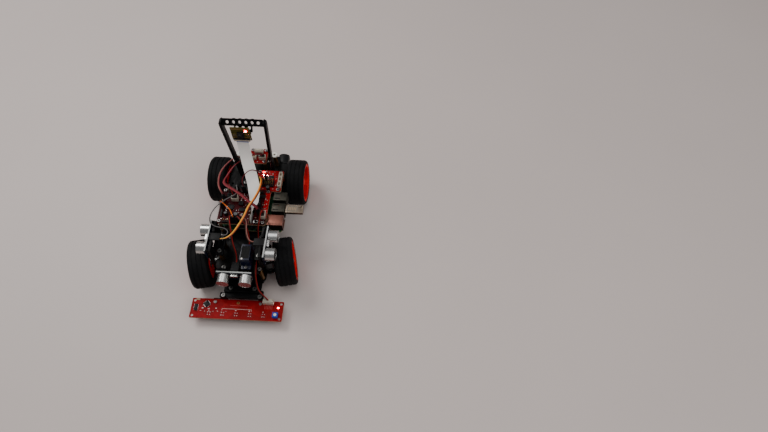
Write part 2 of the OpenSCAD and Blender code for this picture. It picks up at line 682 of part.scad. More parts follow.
module board_chips() color([0.04, 0.04, 0.045]) {
    // processor, memory and the small controllers of the computer
    block([cpu_x0 + 18, cpu_y0 + 25, cpu_top], [cpu_x0 + 32, cpu_y0 + 39, cpu_top + 1.3]);
    block([cpu_x0 + 52, cpu_y0 + 22, cpu_top], [cpu_x0 + 61, cpu_y0 + 31, cpu_top + 1]);
    // sound socket and camera ribbon socket
    block([cpu_x0 + 50.2, cpu_y0, cpu_top], [cpu_x0 + 57, cpu_y0 + 12, cpu_top + 5.6]);
    block([slot_x - 1.4, cpu_y0 + 0.6, cpu_top], [slot_x + 1.4, cpu_y0 + 22.4, cpu_top + 5]);
    // driver board
    block([-24, 4, hat_top], [-16, 11, hat_top + 1.8]);
    block([-8, 2, hat_top], [0, 7, hat_top + 1.6]);
    block([16, 24, hat_top], [24, 29, hat_top + 1.8]);
    // servo driver chip and motor driver chip
    block([19, 61, pwm_top], [29, 65.5, pwm_top + 1.2]);
    block([-3, 99, drv_top], [5, 103, drv_top + 1.5]);
    // line sensor: a square controller turned by 45 degrees and a narrow one at the end
    translate([-43.4, -107, bar_z]) rotate([0, 0, 45]) block([-3.5, -3.5, 0], [3.5, 3.5, 1.4]);
    block([-58.6, -117, bar_z], [-54.8, -108, bar_z + 1.5]);
}

// Black pin strips and sockets
strip_h = 2.5;
pin_pitch = 2.54;
module pin_headers() color([0.05, 0.05, 0.05]) {
    // long socket between the computer and the driver board
    block([cpu_x0 + 7.1, cpu_y0 + cpu_w - 6.1, cpu_top], [cpu_x0 + 57.9, cpu_y0 + cpu_w - 1, hat_z]);
    // strips on the driver board
    block([-31.5, -8, hat_top], [-29, 25, hat_top + strip_h]);
    block([-27.5, -17, hat_top], [4, -14.5, hat_top + strip_h]);
    block([-27, 31.5, hat_top], [20, 34.1, hat_top + strip_h]);
    block([17.5, -3.3, hat_top], [22.6, -0.8, hat_top + strip_h]);
    // servo rows on the servo driver board
    for (i = [0 : 3]) block([pwm_pos[0] + 5, pwm_pos[1] + 7 + i * 2.7, pwm_top],
        [pwm_pos[0] + 25.3, pwm_pos[1] + 9.5 + i * 2.7, pwm_top + strip_h]);
    block([pwm_pos[0] + 0.8, pwm_pos[1] + 8, pwm_top],
        [pwm_pos[0] + 3.3, pwm_pos[1] + 24, pwm_top + strip_h]);
    // sonar pin strips, along the top of the back of each board
    for (m = [0 : 2]) at_sonar(m) block([-2 * pin_pitch, pcb_t, sonar_pin_z],
        [2 * pin_pitch, pcb_t + strip_h, sonar_pin_z + strip_h]);
}
sonar_pin_z = 5.6;
module at_sonar(m) {
    if (m == 0) at_front_sonar() children();
    if (m == 1) at_left_sonar() children();
    if (m == 2) at_right_sonar() children();
}

// White wire-to-board sockets, and the plug in each one that is in use
module jst(x, y, z, l, w = 5.8, h = 7) difference() {
    block([x - l / 2, y - w / 2, z], [x + l / 2, y + w / 2, z + h]);
    block([x - l / 2 + 0.9, y - w / 2 + 0.9, z + 1.5], [x + l / 2 - 0.9, y + w / 2 - 0.9, z + h + 1]);
}
module jst_plug(x, y, z, l, w = 5.8, h = 7) {
    block([x - l / 2 + 1, y - w / 2 + 1, z + 1.5], [x + l / 2 - 1, y + w / 2 - 1, z + h + 1.5]);
}
line_plug = [38, -101.6];
power_plug = [-16, 20];
bus_plug = [26, -4];
module white_connectors() color(nylon) {
    jst(line_plug[0], line_plug[1], bar_z, 14);
    // beside the servo rows
    for (y = [49.7, 57.5, 65.3]) jst(pwm_pos[0] + 33.2, y, pwm_top, 4.6, 7.5, 6);
    // on the motor driver board
    for (x = [-5, 8]) jst(x, drv_pos[1] + 8.5, drv_top, 9, 5.6, 6.5);
    jst(1.5, drv_pos[1] + 19, drv_top, 12, 5.2, 6);
    // on the driver board
    jst(power_plug[0], power_plug[1], hat_top, 9);
    jst(bus_plug[0], bus_plug[1], hat_top, 5.8, 10);
}

// Power switch on the driver board: a steel case and the black slider in its slot
switch_pos = [19, -14.8, hat_z + pcb_t];
module switch_body() color(steel) translate(switch_pos) difference() {
    block([-4.5, -2.2, 0], [4.5, 2.2, 3.6]);
    block([-2.7, -1.05, 2], [2.7, 1.05, 4]);
}
module switch_slider() color([0.04, 0.04, 0.04]) translate(switch_pos)
    block([-2.6, -0.95, 2.05], [-0.5, 0.95, 6.2]);

// Memory stick in the lower of the two middle USB openings
stick_z = cpu_top + 8.8 + 2.5;
stick_tip_x = 76.5;
module usb_stick() color(steel) difference() {
    union() {
        block([usb_x0 + 5.4, usb_y[0] - 5.9, stick_z - 2.2],
            [usb_x0 + usb_l + 1.2, usb_y[0] + 5.9, stick_z + 2.2]);
        block([usb_x0 + usb_l + 1.2, usb_y[0] - 6, stick_z - 2.3],
            [stick_tip_x, usb_y[0] + 6, stick_z + 2.3]);
    }
    post(stick_tip_x - 3, usb_y[0] + 3.6, 0, 100, 1);
}

// ===========================================================================
// Steering: servo, horn, tie rod, knuckles
// ===========================================================================

module servo_case() color([0.04, 0.045, 0.09]) difference() {
    union() {
        block([servo_x - servo_w / 2, servo_y0, servo_z0],
            [servo_x + servo_w / 2, servo_y0 + servo_l, servo_top_z]);
        block([servo_x - servo_w / 2, servo_y0 - ear_l, ear_z],
            [servo_x + servo_w / 2, servo_y0 + servo_l + ear_l, ear_z + ear_t]);
        post(servo_x, servo_shaft_y, servo_z0 - 4, servo_z0 + eps, 5.9);
    }
    for (y = servo_posts) post(servo_x, y, ear_z - 1, ear_z + 4, 1.05);
    post(servo_x, servo_shaft_y, servo_z0 - 5, servo_z0 + 2, stem_r + 0.05);
}

// A flat link outline between two round ends
module link(a, b, r) {
    d = b - a;
    translate(a) circle(r);
    translate(b) circle(r);
    translate(a) rotate([0, 0, atan2(d[1], d[0])]) translate([0, -r * 0.75]) square([norm(d), r * 1.5]);
}

// Horn with its output spline, fixed to the servo's shaft
module servo_horn() color(nylon) steered(servo_x, servo_shaft_y) {
    difference() {
        translate([0, 0, horn_z]) linear_extrude(arm_t)
            link([servo_x, servo_shaft_y], [servo_x, servo_shaft_y + steer_arm], 4.4);
        post(servo_x, servo_shaft_y + steer_arm, horn_z - 1, horn_z + arm_t + 1, pin_r + 0.35);
    }
    post(servo_x, servo_shaft_y, horn_z + arm_t, servo_z0 + 1.8, stem_r);
    post(servo_x, servo_shaft_y, horn_z + arm_t, deck_z - 1, 3.6);
    post(servo_x, servo_shaft_y, horn_z - 2, horn_z, 2.6);
}

// Tie rod: a straight link with a lug back to the horn; it shifts with the arms and stays square
arm_shift = [-steer_arm * sin(steer_rest), steer_arm * cos(steer_rest)];
module tie_rod() color([0.08, 0.08, 0.085]) {
    y = front_axle_y + arm_shift[1];
    horn_y = servo_shaft_y + arm_shift[1];
    difference() {
        translate([0, 0, tie_z]) linear_extrude(tie_t) {
            link([-kingpin_x + arm_shift[0], y], [kingpin_x + arm_shift[0], y], 4);
            link([servo_x + arm_shift[0], y], [servo_x + arm_shift[0], horn_y], 4);
        }
        // a close fit on the left knuckle's pin, an open one on the right knuckle's
        post(kingpin_x + arm_shift[0], y, tie_z - 1, tie_z + tie_t + 1, pin_r + 0.05);
        post(-kingpin_x + arm_shift[0], y, tie_z - 1, tie_z + tie_t + 1, pin_r + 0.35);
        post(servo_x + arm_shift[0], horn_y, tie_z - 1, tie_z + tie_t + 1, pin_r);
    }
    // pin that joins the lug to the horn
    post(servo_x + arm_shift[0], horn_y, tie_z, horn_z + arm_t + 0.3, pin_r);
    post(servo_x + arm_shift[0], horn_y, tie_z - 1.6, tie_z, pin_r + 1);
}

// Steering knuckle: block on the kingpin, arm with its pin, axle bolt and nuts. Drawn straight, then turned
knuckle_z0 = floor_top + 1.2;
knuckle_z1 = deck_z - 1.2;
kingpin_r = 2;
axle_r = 2;
nut_h = 2.6;
axle_nut_x = wheel_offset + spoke_face + 0.4;
module knuckle(s) color([0.55, 0.56, 0.58]) steered(s * kingpin_x, front_axle_y)
    translate([s * kingpin_x, front_axle_y, 0]) {
    difference() {
        union() {
            block([-5, -5, knuckle_z0], [5, 5, knuckle_z1]);
            translate([0, 0, horn_z]) linear_extrude(arm_t) link([0, 0], [0, steer_arm], 4);
        }
        translate([0, 0, knuckle_z0 - 1]) cylinder(r = kingpin_r, h = 40);
        translate([0, steer_arm, horn_z - 1]) cylinder(r = pin_r, h = arm_t + 2);
        translate([-s * 6, 0, axle_z]) rotate([0, s * 90, 0]) cylinder(r = axle_r, h = 12);
    }
    // kingpin in two parts, above and below the axle bolt, with its head and its nut
    translate([0, 0, floor_z - 1.3]) cylinder(r = kingpin_r, h = axle_z - 2.3 - floor_z + 1.3);
    translate([0, 0, axle_z + 2.3]) cylinder(r = kingpin_r, h = deck_top + 1.3 - axle_z - 2.3);
    translate([0, 0, deck_top + 1.3]) cylinder(r = 3.5, h = nut_h);
    translate([0, 0, floor_z - 1.3 - nut_h]) cylinder(r = 4, h = nut_h, $fn = 6);
    // arm pin and its head
    translate([0, steer_arm, tie_z - 1.2]) cylinder(r = pin_r, h = horn_z + arm_t - tie_z + 1.2);
    translate([0, steer_arm, horn_z + arm_t]) cylinder(r = 2.4, h = 1.5);
    // axle bolt with its head, a spacer and the nut outside the wheel
    translate([-s * 5, 0, axle_z]) rotate([0, s * 90, 0]) cylinder(r = axle_r, h = axle_nut_x + nut_h + 5.5);
    translate([-s * 5, 0, axle_z]) rotate([0, -s * 90, 0]) cylinder(r = 3.4, h = 2);
    translate([s * 5, 0, axle_z]) rotate([0, s * 90, 0])
        ring(3.2, axle_r, wheel_offset - wheel_w / 2 + 1.2 - 5);
    translate([s * axle_nut_x, 0, axle_z]) rotate([0, s * 90, 0]) difference() {
        cylinder(r = 4, h = nut_h, $fn = 6);
        translate([0, 0, -1]) cylinder(r = axle_r, h = nut_h + 2);
    }
}
module ring(r1, r0, h) difference() {
    cylinder(r = r1, h = h);
    translate([0, 0, -1]) cylinder(r = r0, h = h + 2);
}
module left_knuckle() knuckle(1);
module right_knuckle() knuckle(-1);

// ===========================================================================
// Wheels. A wheel is drawn at the origin, its axle along X and its outer face towards +X
// ===========================================================================

shoulder_r = 4.4;
bead_r = 21;
bead_t = 1.5;
groove_depth = 0.8;
groove_w = 1.4;
module tyre_shape() color(rubber_black) rotate([0, 90, 0]) rotate_extrude($fn = 96) {
    difference() {
        union() {
            translate([rim_r, -wheel_w / 2]) square([wheel_d / 2 - rim_r - shoulder_r, wheel_w]);
            translate([rim_r, -wheel_w / 2 + shoulder_r])
                square([wheel_d / 2 - rim_r, wheel_w - 2 * shoulder_r]);
            for (s = [-1, 1]) translate([wheel_d / 2 - shoulder_r, s * (wheel_w / 2 - shoulder_r)])
                circle(shoulder_r);
        }
        for (y = [-6, 0, 6]) translate([wheel_d / 2 - groove_depth, y - groove_w / 2]) square([2, groove_w]);
        // the rim fills the inside
        translate([0, -wheel_w]) square([rim_r, 2 * wheel_w]);
    }
    // bead over the rim's inner edge
    translate([bead_r, -wheel_w / 2]) square([rim_r - bead_r + 1, bead_t]);
}

rim_wall = 2.2;
hub_r = 7.5;
module hub_shape(bore_r, bearing_r) color(rim_red) {
    rotate([0, 90, 0]) rotate_extrude($fn = 96) {
        translate([rim_r - rim_wall, -wheel_w / 2 + bead_t]) square([rim_wall, wheel_w - bead_t - 0.6]);
        translate([rim_r - rim_wall - 1.4, wheel_w / 2 - 3]) square([1.5, 2.4]);
    }
    difference() {
        union() {
            rotate([0, 90, 0]) translate([0, 0, -wheel_w / 2 + 1.5]) cylinder(r = hub_r, h = wheel_w - 6);
            // five spokes, each with a rib behind it
            for (i = [0 : 4]) rotate([72 * i, 0, 0]) {
                block([spoke_face - 3, -3.4, hub_r - 1], [spoke_face, 3.4, rim_r - rim_wall + 0.3]);
                block([spoke_face - 12, -1.1, hub_r - 1], [spoke_face - 2.9, 1.1, rim_r - rim_wall + 0.3]);
            }
        }
        rotate([0, 90, 0]) translate([0, 0, -wheel_w]) cylinder(r = bore_r, h = 2 * wheel_w);
        if (bearing_r > 0) {
            rotate([0, 90, 0]) translate([0, 0, -wheel_w / 2]) cylinder(r = bearing_r, h = 5.5);
            rotate([0, 90, 0]) translate([0, 0, spoke_face - 4]) cylinder(r = bearing_r, h = 8);
        }
    }
}

front_bearing_r = 5.5;
module bearings_shape() color(steel) for (x = [-wheel_w / 2 + 1.5, spoke_face - 4]) difference() {
    translate([x, 0, 0]) rotate([0, 90, 0]) cylinder(r = front_bearing_r - 0.02, h = 4);
    translate([x - 1, 0, 0]) rotate([0, 90, 0]) cylinder(r = 2.06, h = 6);
}

module at_front(s) steered(s * kingpin_x, front_axle_y)
    translate([s * (kingpin_x + wheel_offset), front_axle_y, axle_z])
        rotate([0, 0, s > 0 ? 0 : 180]) children();
module at_rear(s) translate([s * rear_wheel_x, rear_axle_y, axle_z])
    rotate([0, 0, s > 0 ? 0 : 180]) children();

module front_left_tyre() at_front(1) tyre_shape();
module front_left_hub() at_front(1) hub_shape(3, front_bearing_r);
module front_left_bearings() at_front(1) bearings_shape();
module front_right_tyre() at_front(-1) tyre_shape();
module front_right_hub() at_front(-1) hub_shape(3, front_bearing_r);
module front_right_bearings() at_front(-1) bearings_shape();
module rear_left_tyre() at_rear(1) tyre_shape();
module rear_left_hub() at_rear(1) hub_shape(shaft_r + 0.02, 0);
module rear_right_tyre() at_rear(-1) tyre_shape();
module rear_right_hub() at_rear(-1) hub_shape(shaft_r + 0.02, 0);

// ===========================================================================
// Gear motors
// ===========================================================================

gear_x1 = gear_x0 + gear_t;
gear_bolt_y = gear_y0 + 26;
bolt_dz = [-8.7, 8.7];
bracket_screw_x = 12;
bracket_screw_y = [84, 98];
// L-shaped bracket beside each gearbox
module motor_bracket(s) mirror([s < 0 ? 1 : 0, 0, 0]) difference() {
    union() {
        block([gear_x0 - plate_t, 79, floor_z], [gear_x0, 107, deck_z - 2]);
        block([8.5, 79, floor_z], [gear_x0 - plate_t + eps, 100.5, floor_z + 2]);
    }
    for (y = bracket_screw_y) post(bracket_screw_x, y, floor_z - 1, floor_z + 4, m3_hole);
    for (z = bolt_dz) translate([gear_x0 - plate_t - 1, gear_bolt_y, axle_z + z]) rotate([0, 90, 0])
        cylinder(r = 1.45, h = plate_t + 2);
}
module left_motor_bracket() color(black_plastic) motor_bracket(1);
module right_motor_bracket() color(black_plastic) motor_bracket(-1);
shaft_end_x = rear_wheel_x + 4;
module output_shaft(s) color(nylon) {
    translate([s * (gear_x0 + 4), rear_axle_y, axle_z]) rotate([0, s * 90, 0])
        cylinder(r = shaft_r, h = shaft_end_x - gear_x0 - 4);
    translate([s * (gear_x0 + 4), rear_axle_y, axle_z]) rotate([0, s * 90, 0]) cylinder(r = 8, h = 4);
}
module output_shaft_left() output_shaft(1);
module output_shaft_right() output_shaft(-1);

module gearbox(s) mirror([s < 0 ? 1 : 0, 0, 0]) difference() {
    union() {
        translate([gear_x0, 0, 0]) rotate([90, 0, 90]) linear_extrude(gear_t)
            round_rect(gear_y0, axle_z - gear_h / 2, gear_y0 + gear_l, axle_z + gear_h / 2, 2.5);
        block([gear_x0 + 6, gear_y0 - 4.5, axle_z - 2.5], [gear_x0 + 12, gear_y0 + 1, axle_z + 2.5]);
        // a band that holds the motor can
        block([gear_x0 + 1.8, gear_y0 + gear_l, axle_z - 10.6],
            [gear_x1 - 1.8, gear_y0 + gear_l + 3, axle_z + 10.6]);
    }
    // shaft bore and the chamber that its gear turns in
    translate([gear_x0 + 3, rear_axle_y, axle_z]) rotate([0, 90, 0]) cylinder(r = 8.6, h = 6);
    translate([gear_x0 + 8, rear_axle_y, axle_z]) rotate([0, 90, 0]) cylinder(r = shaft_r + 0.06, h = 20);
    // mounting holes through the gearbox
    for (z = bolt_dz) translate([gear_x0 - 1, gear_bolt_y, axle_z + z]) rotate([0, 90, 0])
        cylinder(r = 1.5, h = gear_t + 2);
    // seat of the motor can
    translate([gear_x0 + gear_t / 2, gear_y0 + gear_l - 8, axle_z]) can_outline(12, 0.05);
}
module gearboxes() color(black_plastic) {
    gearbox(1);
    gearbox(-1);
}

// Round can with two flats, drawn along +Y
can_flat = 15.2;
module can_outline(length, grow) rotate([-90, 0, 0]) linear_extrude(length) intersection() {
    circle(10.05 + grow);
    square([can_flat + 2 * grow, 30], center = true);
}
module motor_cans() color([0.07, 0.07, 0.08]) for (s = [-1, 1]) mirror([s < 0 ? 1 : 0, 0, 0])
    translate([gear_x0 + gear_t / 2, gear_y0 + gear_l - 7.9, axle_z]) {
        can_outline(can_end_y - 2 - gear_y0 - gear_l + 7.9, 0);
        translate([0, can_end_y - 2 - gear_y0 - gear_l + 7.9, 0])
            rotate([-90, 0, 0]) cylinder(r = 4.8, h = 2);
    }

// ===========================================================================
// Battery under the deck
// ===========================================================================

holder_z0 = 25.5;
cell_z = 36;
module battery_holder() color(black_plastic) difference() {
    block([-holder_w / 2, holder_y0, holder_z0], [holder_w / 2, holder_y0 + holder_l, deck_z]);
    for (s = [-1, 1]) {
        translate([s * 9.7, holder_y0 + 5.5, cell_z]) rotate([-90, 0, 0])
            cylinder(r = cell_r + 0.15, h = cell_l + 0.6);
        block([s * 9.7 - cell_r + 1.2, holder_y0 + 5.5, holder_z0 - 1],
            [s * 9.7 + cell_r - 1.2, holder_y0 + 6.1 + cell_l, cell_z]);
    }
}
module battery_cells() color([0.1, 0.35, 0.6]) for (s = [-1, 1])
    translate([s * 9.7, holder_y0 + 5.8, cell_z]) rotate([-90, 0, 0]) {
        cylinder(r = cell_r, h = cell_l - 1.5);
        translate([0, 0, cell_l - 1.5]) cylinder(r = 4, h = 1.5);
    }

// ===========================================================================
// Jumper wires, each bundle one tube, and the housings that they end in
// ===========================================================================

plug_h = 12;
strip_top = hat_top + strip_h;
sonar_plug_y = pcb_t + strip_h;

// Housing of n pins in a row along X or Y
module housing(x, y, z, nx, ny) {
    block([x - nx * pin_pitch / 2, y - ny * pin_pitch / 2, z],
        [x + nx * pin_pitch / 2, y + ny * pin_pitch / 2, z + plug_h]);
}
module wire_plugs() color([0.05, 0.05, 0.055]) {
    // on the driver board
    housing(-30.2, 19, strip_top, 1, 2);
    housing(-14, 32.8, strip_top, 2, 1);
    housing(-30.2, 6, strip_top, 1, 2);
    housing(-12, -15.8, strip_top, 3, 1);
    housing(-3, -15.8, strip_top, 3, 1);
    housing(-5, 32.8, strip_top, 2, 1);
    housing(20, -2, strip_top, 2, 1);
    // on the servo driver board
    housing(14.5, 51, pwm_top + strip_h, 3, 1);
    housing(20, 56.35, pwm_top + strip_h, 1, 1);
    // on the sonar boards
    for (m = [0 : 2]) at_sonar(m) block([-2 * pin_pitch, sonar_plug_y, sonar_pin_z],
        [2 * pin_pitch, sonar_plug_y + plug_h, sonar_pin_z + strip_h]);
    // in the white sockets
    jst_plug(line_plug[0], line_plug[1], bar_z, 14);
    jst_plug(power_plug[0], power_plug[1], hat_top, 9);
    jst_plug(bus_plug[0], bus_plug[1], hat_top, 5.8, 10);
    jst_plug(8, drv_pos[1] + 8.5, drv_top, 9, 5.6, 6.5);
}

wire_d = 2.6;
// directions in which the wires leave and meet the faces of their plugs
up = [0, 0, 1];
down = [0, 0, -1];
to_right_side = [-1, 0, 0];
to_front = [0, -1, 0];
to_back = [0, 1, 0];
yellow_route = [[14.5, 51, 82.5], [14.5, 51, 84.5], [15.5, 49, 88.5], [19, 42, 92.5], [20, 24, 97],
    [17, 6, 101], [12, -8, 102], [9, -22, 102], [3, -34, 98], [-5, -44.5, 93], [-12, -49.6, 91.2],
    [-17, -50.5, 90.8], [-19.4, -50.5, 90.8]];
mauve_route = [[8, 95.5, 76], [8, 95.4, 78.5], [6, 92.5, 83], [-2, 86, 88], [-20, 66, 92], [-28, 46, 93],
    [-29, 32, 96], [-13, 20.5, 97], [-2, 13, 97], [9, 4, 96.5], [16, -0.5, 95.5], [19.4, -1.9, 92.8],
    [20, -2, 90.5], [20, -2, 88.5]];
crimson_route = [[-5, 32.8, 88.5], [-5, 32.9, 90.5], [-5.4, 34.3, 95.5], [-3.5, 38, 102], [1.5, 43, 106.5],
    [8, 46, 108], [14, 47, 105], [18, 50.5, 97], [19.8, 55.4, 88], [20, 56.35, 84.5], [20, 56.35, 82.5]];
orange_route = [[-30.2, 6, 88.5], [-30.2, 6, 89.6], [-29.5, 5.4, 91.7], [-27.9, 4.05, 92.6],
    [-20, -2.5, 92.6], [-14, -8.5, 92.7], [-11.5, -13.2, 92.7], [-10.4, -15.1, 91.8], [-10, -15.8, 89.6],
    [-10, -15.8, 88.5]];
black_route = [[-14, 32.8, 88.5], [-14, 32.8, 89.6], [-13.7, 31.95, 91.7], [-13, 29.8, 92.7],
    [-10.6, 23, 93.5], [-11.2, 16.5, 93.6], [-15.8, 11.5, 94.5], [-22.5, 5, 96], [-31, -5, 96.4],
    [-36, -17, 96.5], [-35, -29, 97.5], [-29, -36, 97.5], [-21.5, -37, 95.8], [-14.5, -37.8, 94],
    [-10.9, -41.4, 92.4], [-13.2, -45, 91.2], [-17, -45.5, 90.8], [-19.4, -45.5, 90.8]];
front_route = [[-14, -15.8, 88.5], [-14, -15.8, 89.6], [-13.9, -16.7, 91.7], [-13.5, -18.9, 92.8],
    [-12.4, -25, 92.4], [-10, -34, 88.5], [-7, -48, 77], [-3.2, -58, 64.5], [-2.5, -64.2, 59.2],
    [-2.5, -66.9, 58.85]];
servo_route = [[12, -49.1, 65], [12, -46.8, 65.2], [11.9, -42.5, 68.2], [11, -34, 76.5], [6, -25, 90.5],
    [0.5, -21.6, 93], [-2.9, -17.8, 92.7], [-4.5, -16.35, 91.7], [-5.2, -15.8, 89.6], [-5.2, -15.8, 88.5]];
left_sonar_route = [[23.9, -53, 90.85], [21.6, -53, 90.85], [17.5, -51.2, 91.2], [13, -42, 93.5],
    [10, -26, 97], [4, -19.8, 96.2], [0.4, -16.6, 94], [-0.8, -15.8, 91.2], [-0.8, -15.8, 88.5]];
motor_route = [[-31, 114, 42.55], [-31.1, 113.8, 44.8], [-33.2, 108.5, 53], [-37, 92, 66], [-40, 72, 78],
    [-40, 50, 89], [-37, 32, 94], [-33.4, 23, 95], [-30.8, 19.6, 92.8], [-30.2, 19, 90.5],
    [-30.2, 19, 88.5]];
battery_route = [[-20.5, 41.5, 38], [-21.6, 41.5, 38], [-23.7, 41.5, 38.9], [-24.6, 41.5, 41],
    [-25.6, 41.5, 46], [-26.5, 41.6, 54], [-27, 42, 70], [-26.4, 40.5, 80], [-23.2, 33, 89],
    [-18.4, 24.2, 91], [-16.3, 20.6, 88.4], [-16, 20, 85.5], [-16, 20, 82.5]];
line_route = [[38, -101.6, 22.5], [38, -101.6, 24.6], [36.6, -100.8, 28], [32, -98, 31], [26.5, -93, 35],
    [24, -86, 42], [23, -79, 50], [22.5, -70, 54], [21.5, -52, 55], [21, -34, 60], [22, -22, 77.5],
    [23.8, -14.5, 84.8], [25.1, -9.1, 90], [25.7, -7, 91], [26, -4.9, 90.1], [26, -4, 88], [26, -4, 85],
    [26, -4, 82.5]];

module signal_wires() color([0.85, 0.6, 0.1]) {
    tube(yellow_route, wire_d, up, to_right_side);
    tube(mauve_route, wire_d, up, down);
    tube(crimson_route, wire_d, up, down);
    tube(orange_route, wire_d, up, down);
    tube(servo_route, wire_d, to_back, down);
    tube(line_route, wire_d, up, down);
}
module sonar_wires() color([0.35, 0.2, 0.12]) {
    tube(black_route, wire_d, up, to_right_side);
    tube(front_route, wire_d, up, to_front);
    tube(left_sonar_route, wire_d, to_right_side, down);
}
module power_wires() color([0.5, 0.05, 0.08]) {
    tube(motor_route, wire_d, up, down);
    tube(battery_route, wire_d, to_right_side, down);
}

// ---------------------------------------------------------------------------
upper_plate();
front_lower_plate();
rear_lower_plate();
plate_standoffs();
post_caps();
chassis_screws();
kingpin_bearings();
line_sensor_board();
line_sensor_emitters();
trimmer_body();
trimmer_screw();
bar_hangers();
front_sonar_bracket();
left_sonar_bracket();
right_sonar_bracket();
sonar_boards();
sonar_cans();
left_motor_bracket();
right_motor_bracket();
camera_arch();
camera_bracket();
camera_board();
camera_lens();
camera_ribbon();
computer_board();
computer_sockets();
driver_hat_board();
board_chips();
pin_headers();
white_connectors();
switch_body();
switch_slider();
pwm_board();
motor_driver_board();
usb_stick();
servo_case();
servo_horn();
tie_rod();
left_knuckle();
right_knuckle();
front_left_tyre();
front_left_hub();
front_left_bearings();
front_right_tyre();
front_right_hub();
front_right_bearings();
rear_left_tyre();
rear_left_hub();
rear_right_tyre();
rear_right_hub();
output_shaft_left();
output_shaft_right();
gearboxes();
motor_cans();
battery_holder();
battery_cells();
wire_plugs();
signal_wires();
sonar_wires();
power_wires();
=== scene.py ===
import json
import math
import random

import bmesh
import bpy
from mathutils import Matrix, Vector


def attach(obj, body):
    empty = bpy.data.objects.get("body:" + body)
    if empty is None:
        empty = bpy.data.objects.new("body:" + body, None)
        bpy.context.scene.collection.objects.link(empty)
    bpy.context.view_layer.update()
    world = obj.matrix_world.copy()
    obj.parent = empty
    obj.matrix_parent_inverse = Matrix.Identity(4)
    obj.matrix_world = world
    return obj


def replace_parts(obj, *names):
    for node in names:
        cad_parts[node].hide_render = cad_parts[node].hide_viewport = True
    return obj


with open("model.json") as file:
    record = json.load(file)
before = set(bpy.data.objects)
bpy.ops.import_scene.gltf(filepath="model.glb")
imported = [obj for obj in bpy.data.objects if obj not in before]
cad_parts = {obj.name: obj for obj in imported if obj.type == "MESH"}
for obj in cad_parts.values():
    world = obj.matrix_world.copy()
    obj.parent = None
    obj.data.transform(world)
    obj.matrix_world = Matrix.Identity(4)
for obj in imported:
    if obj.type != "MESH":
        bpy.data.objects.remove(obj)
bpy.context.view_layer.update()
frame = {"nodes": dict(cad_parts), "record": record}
MM = 0.001
UP = (0, 0, 1)
FRONT = (0, -1, 0)
rng = random.Random(7)


# ---------------------------------------------------------------------------
# Camera, floor and lights
# ---------------------------------------------------------------------------

CAMERA_AT = (0.2075, -0.4233, 0.757)
CAMERA_AIM = (-0.0275, 0.5307, -0.8471)
FOCAL_MM = 28.5
SENSOR_MM = 36.0


def make_camera():
    data = bpy.data.cameras.new("camera")
    data.lens = FOCAL_MM
    data.sensor_width = SENSOR_MM
    cam = bpy.data.objects.new("camera", data)
    bpy.context.scene.collection.objects.link(cam)
    cam.location = CAMERA_AT
    cam.rotation_mode = "QUATERNION"
    cam.rotation_quaternion = Vector(CAMERA_AIM).to_track_quat("-Z", "Y")
    bpy.context.scene.camera = cam


def area_light(name, location, target, size, power, color):
    data = bpy.data.lights.new(name, "AREA")
    data.shape = "RECTANGLE"
    data.size, data.size_y = size
    data.energy = power
    data.color = color
    light = bpy.data.objects.new(name, data)
    bpy.context.scene.collection.objects.link(light)
    light.location = location
    light.rotation_mode = "QUATERNION"
    light.rotation_quaternion = (Vector(target) - Vector(location)).to_track_quat("-Z", "Y")


def make_lights():
    area_light("key", (-0.9, 0.7, 1.5), (0, 0, 0.05), (0.9, 0.7), 19, (1.0, 0.98, 0.96))
    area_light("fill", (1.2, -0.7, 1.3), (0, 0, 0.05), (1.4, 1.0), 9, (1.0, 0.99, 0.98))
    area_light("top", (0.1, -0.1, 1.9), (0, 0, 0), (1.6, 1.2), 11, (1.0, 0.99, 0.98))
    world = bpy.data.worlds.new("world")
    world.use_nodes = True
    sky = world.node_tree.nodes["Background"]
    sky.inputs["Color"].default_value = (0.9, 0.9, 0.91, 1)
    sky.inputs["Strength"].default_value = 0.26
    bpy.context.scene.world = world


# ---------------------------------------------------------------------------
# Materials
# ---------------------------------------------------------------------------

def shade(color, k):
    return (min(color[0] * k, 1), min(color[1] * k, 1), min(color[2] * k, 1), 1)


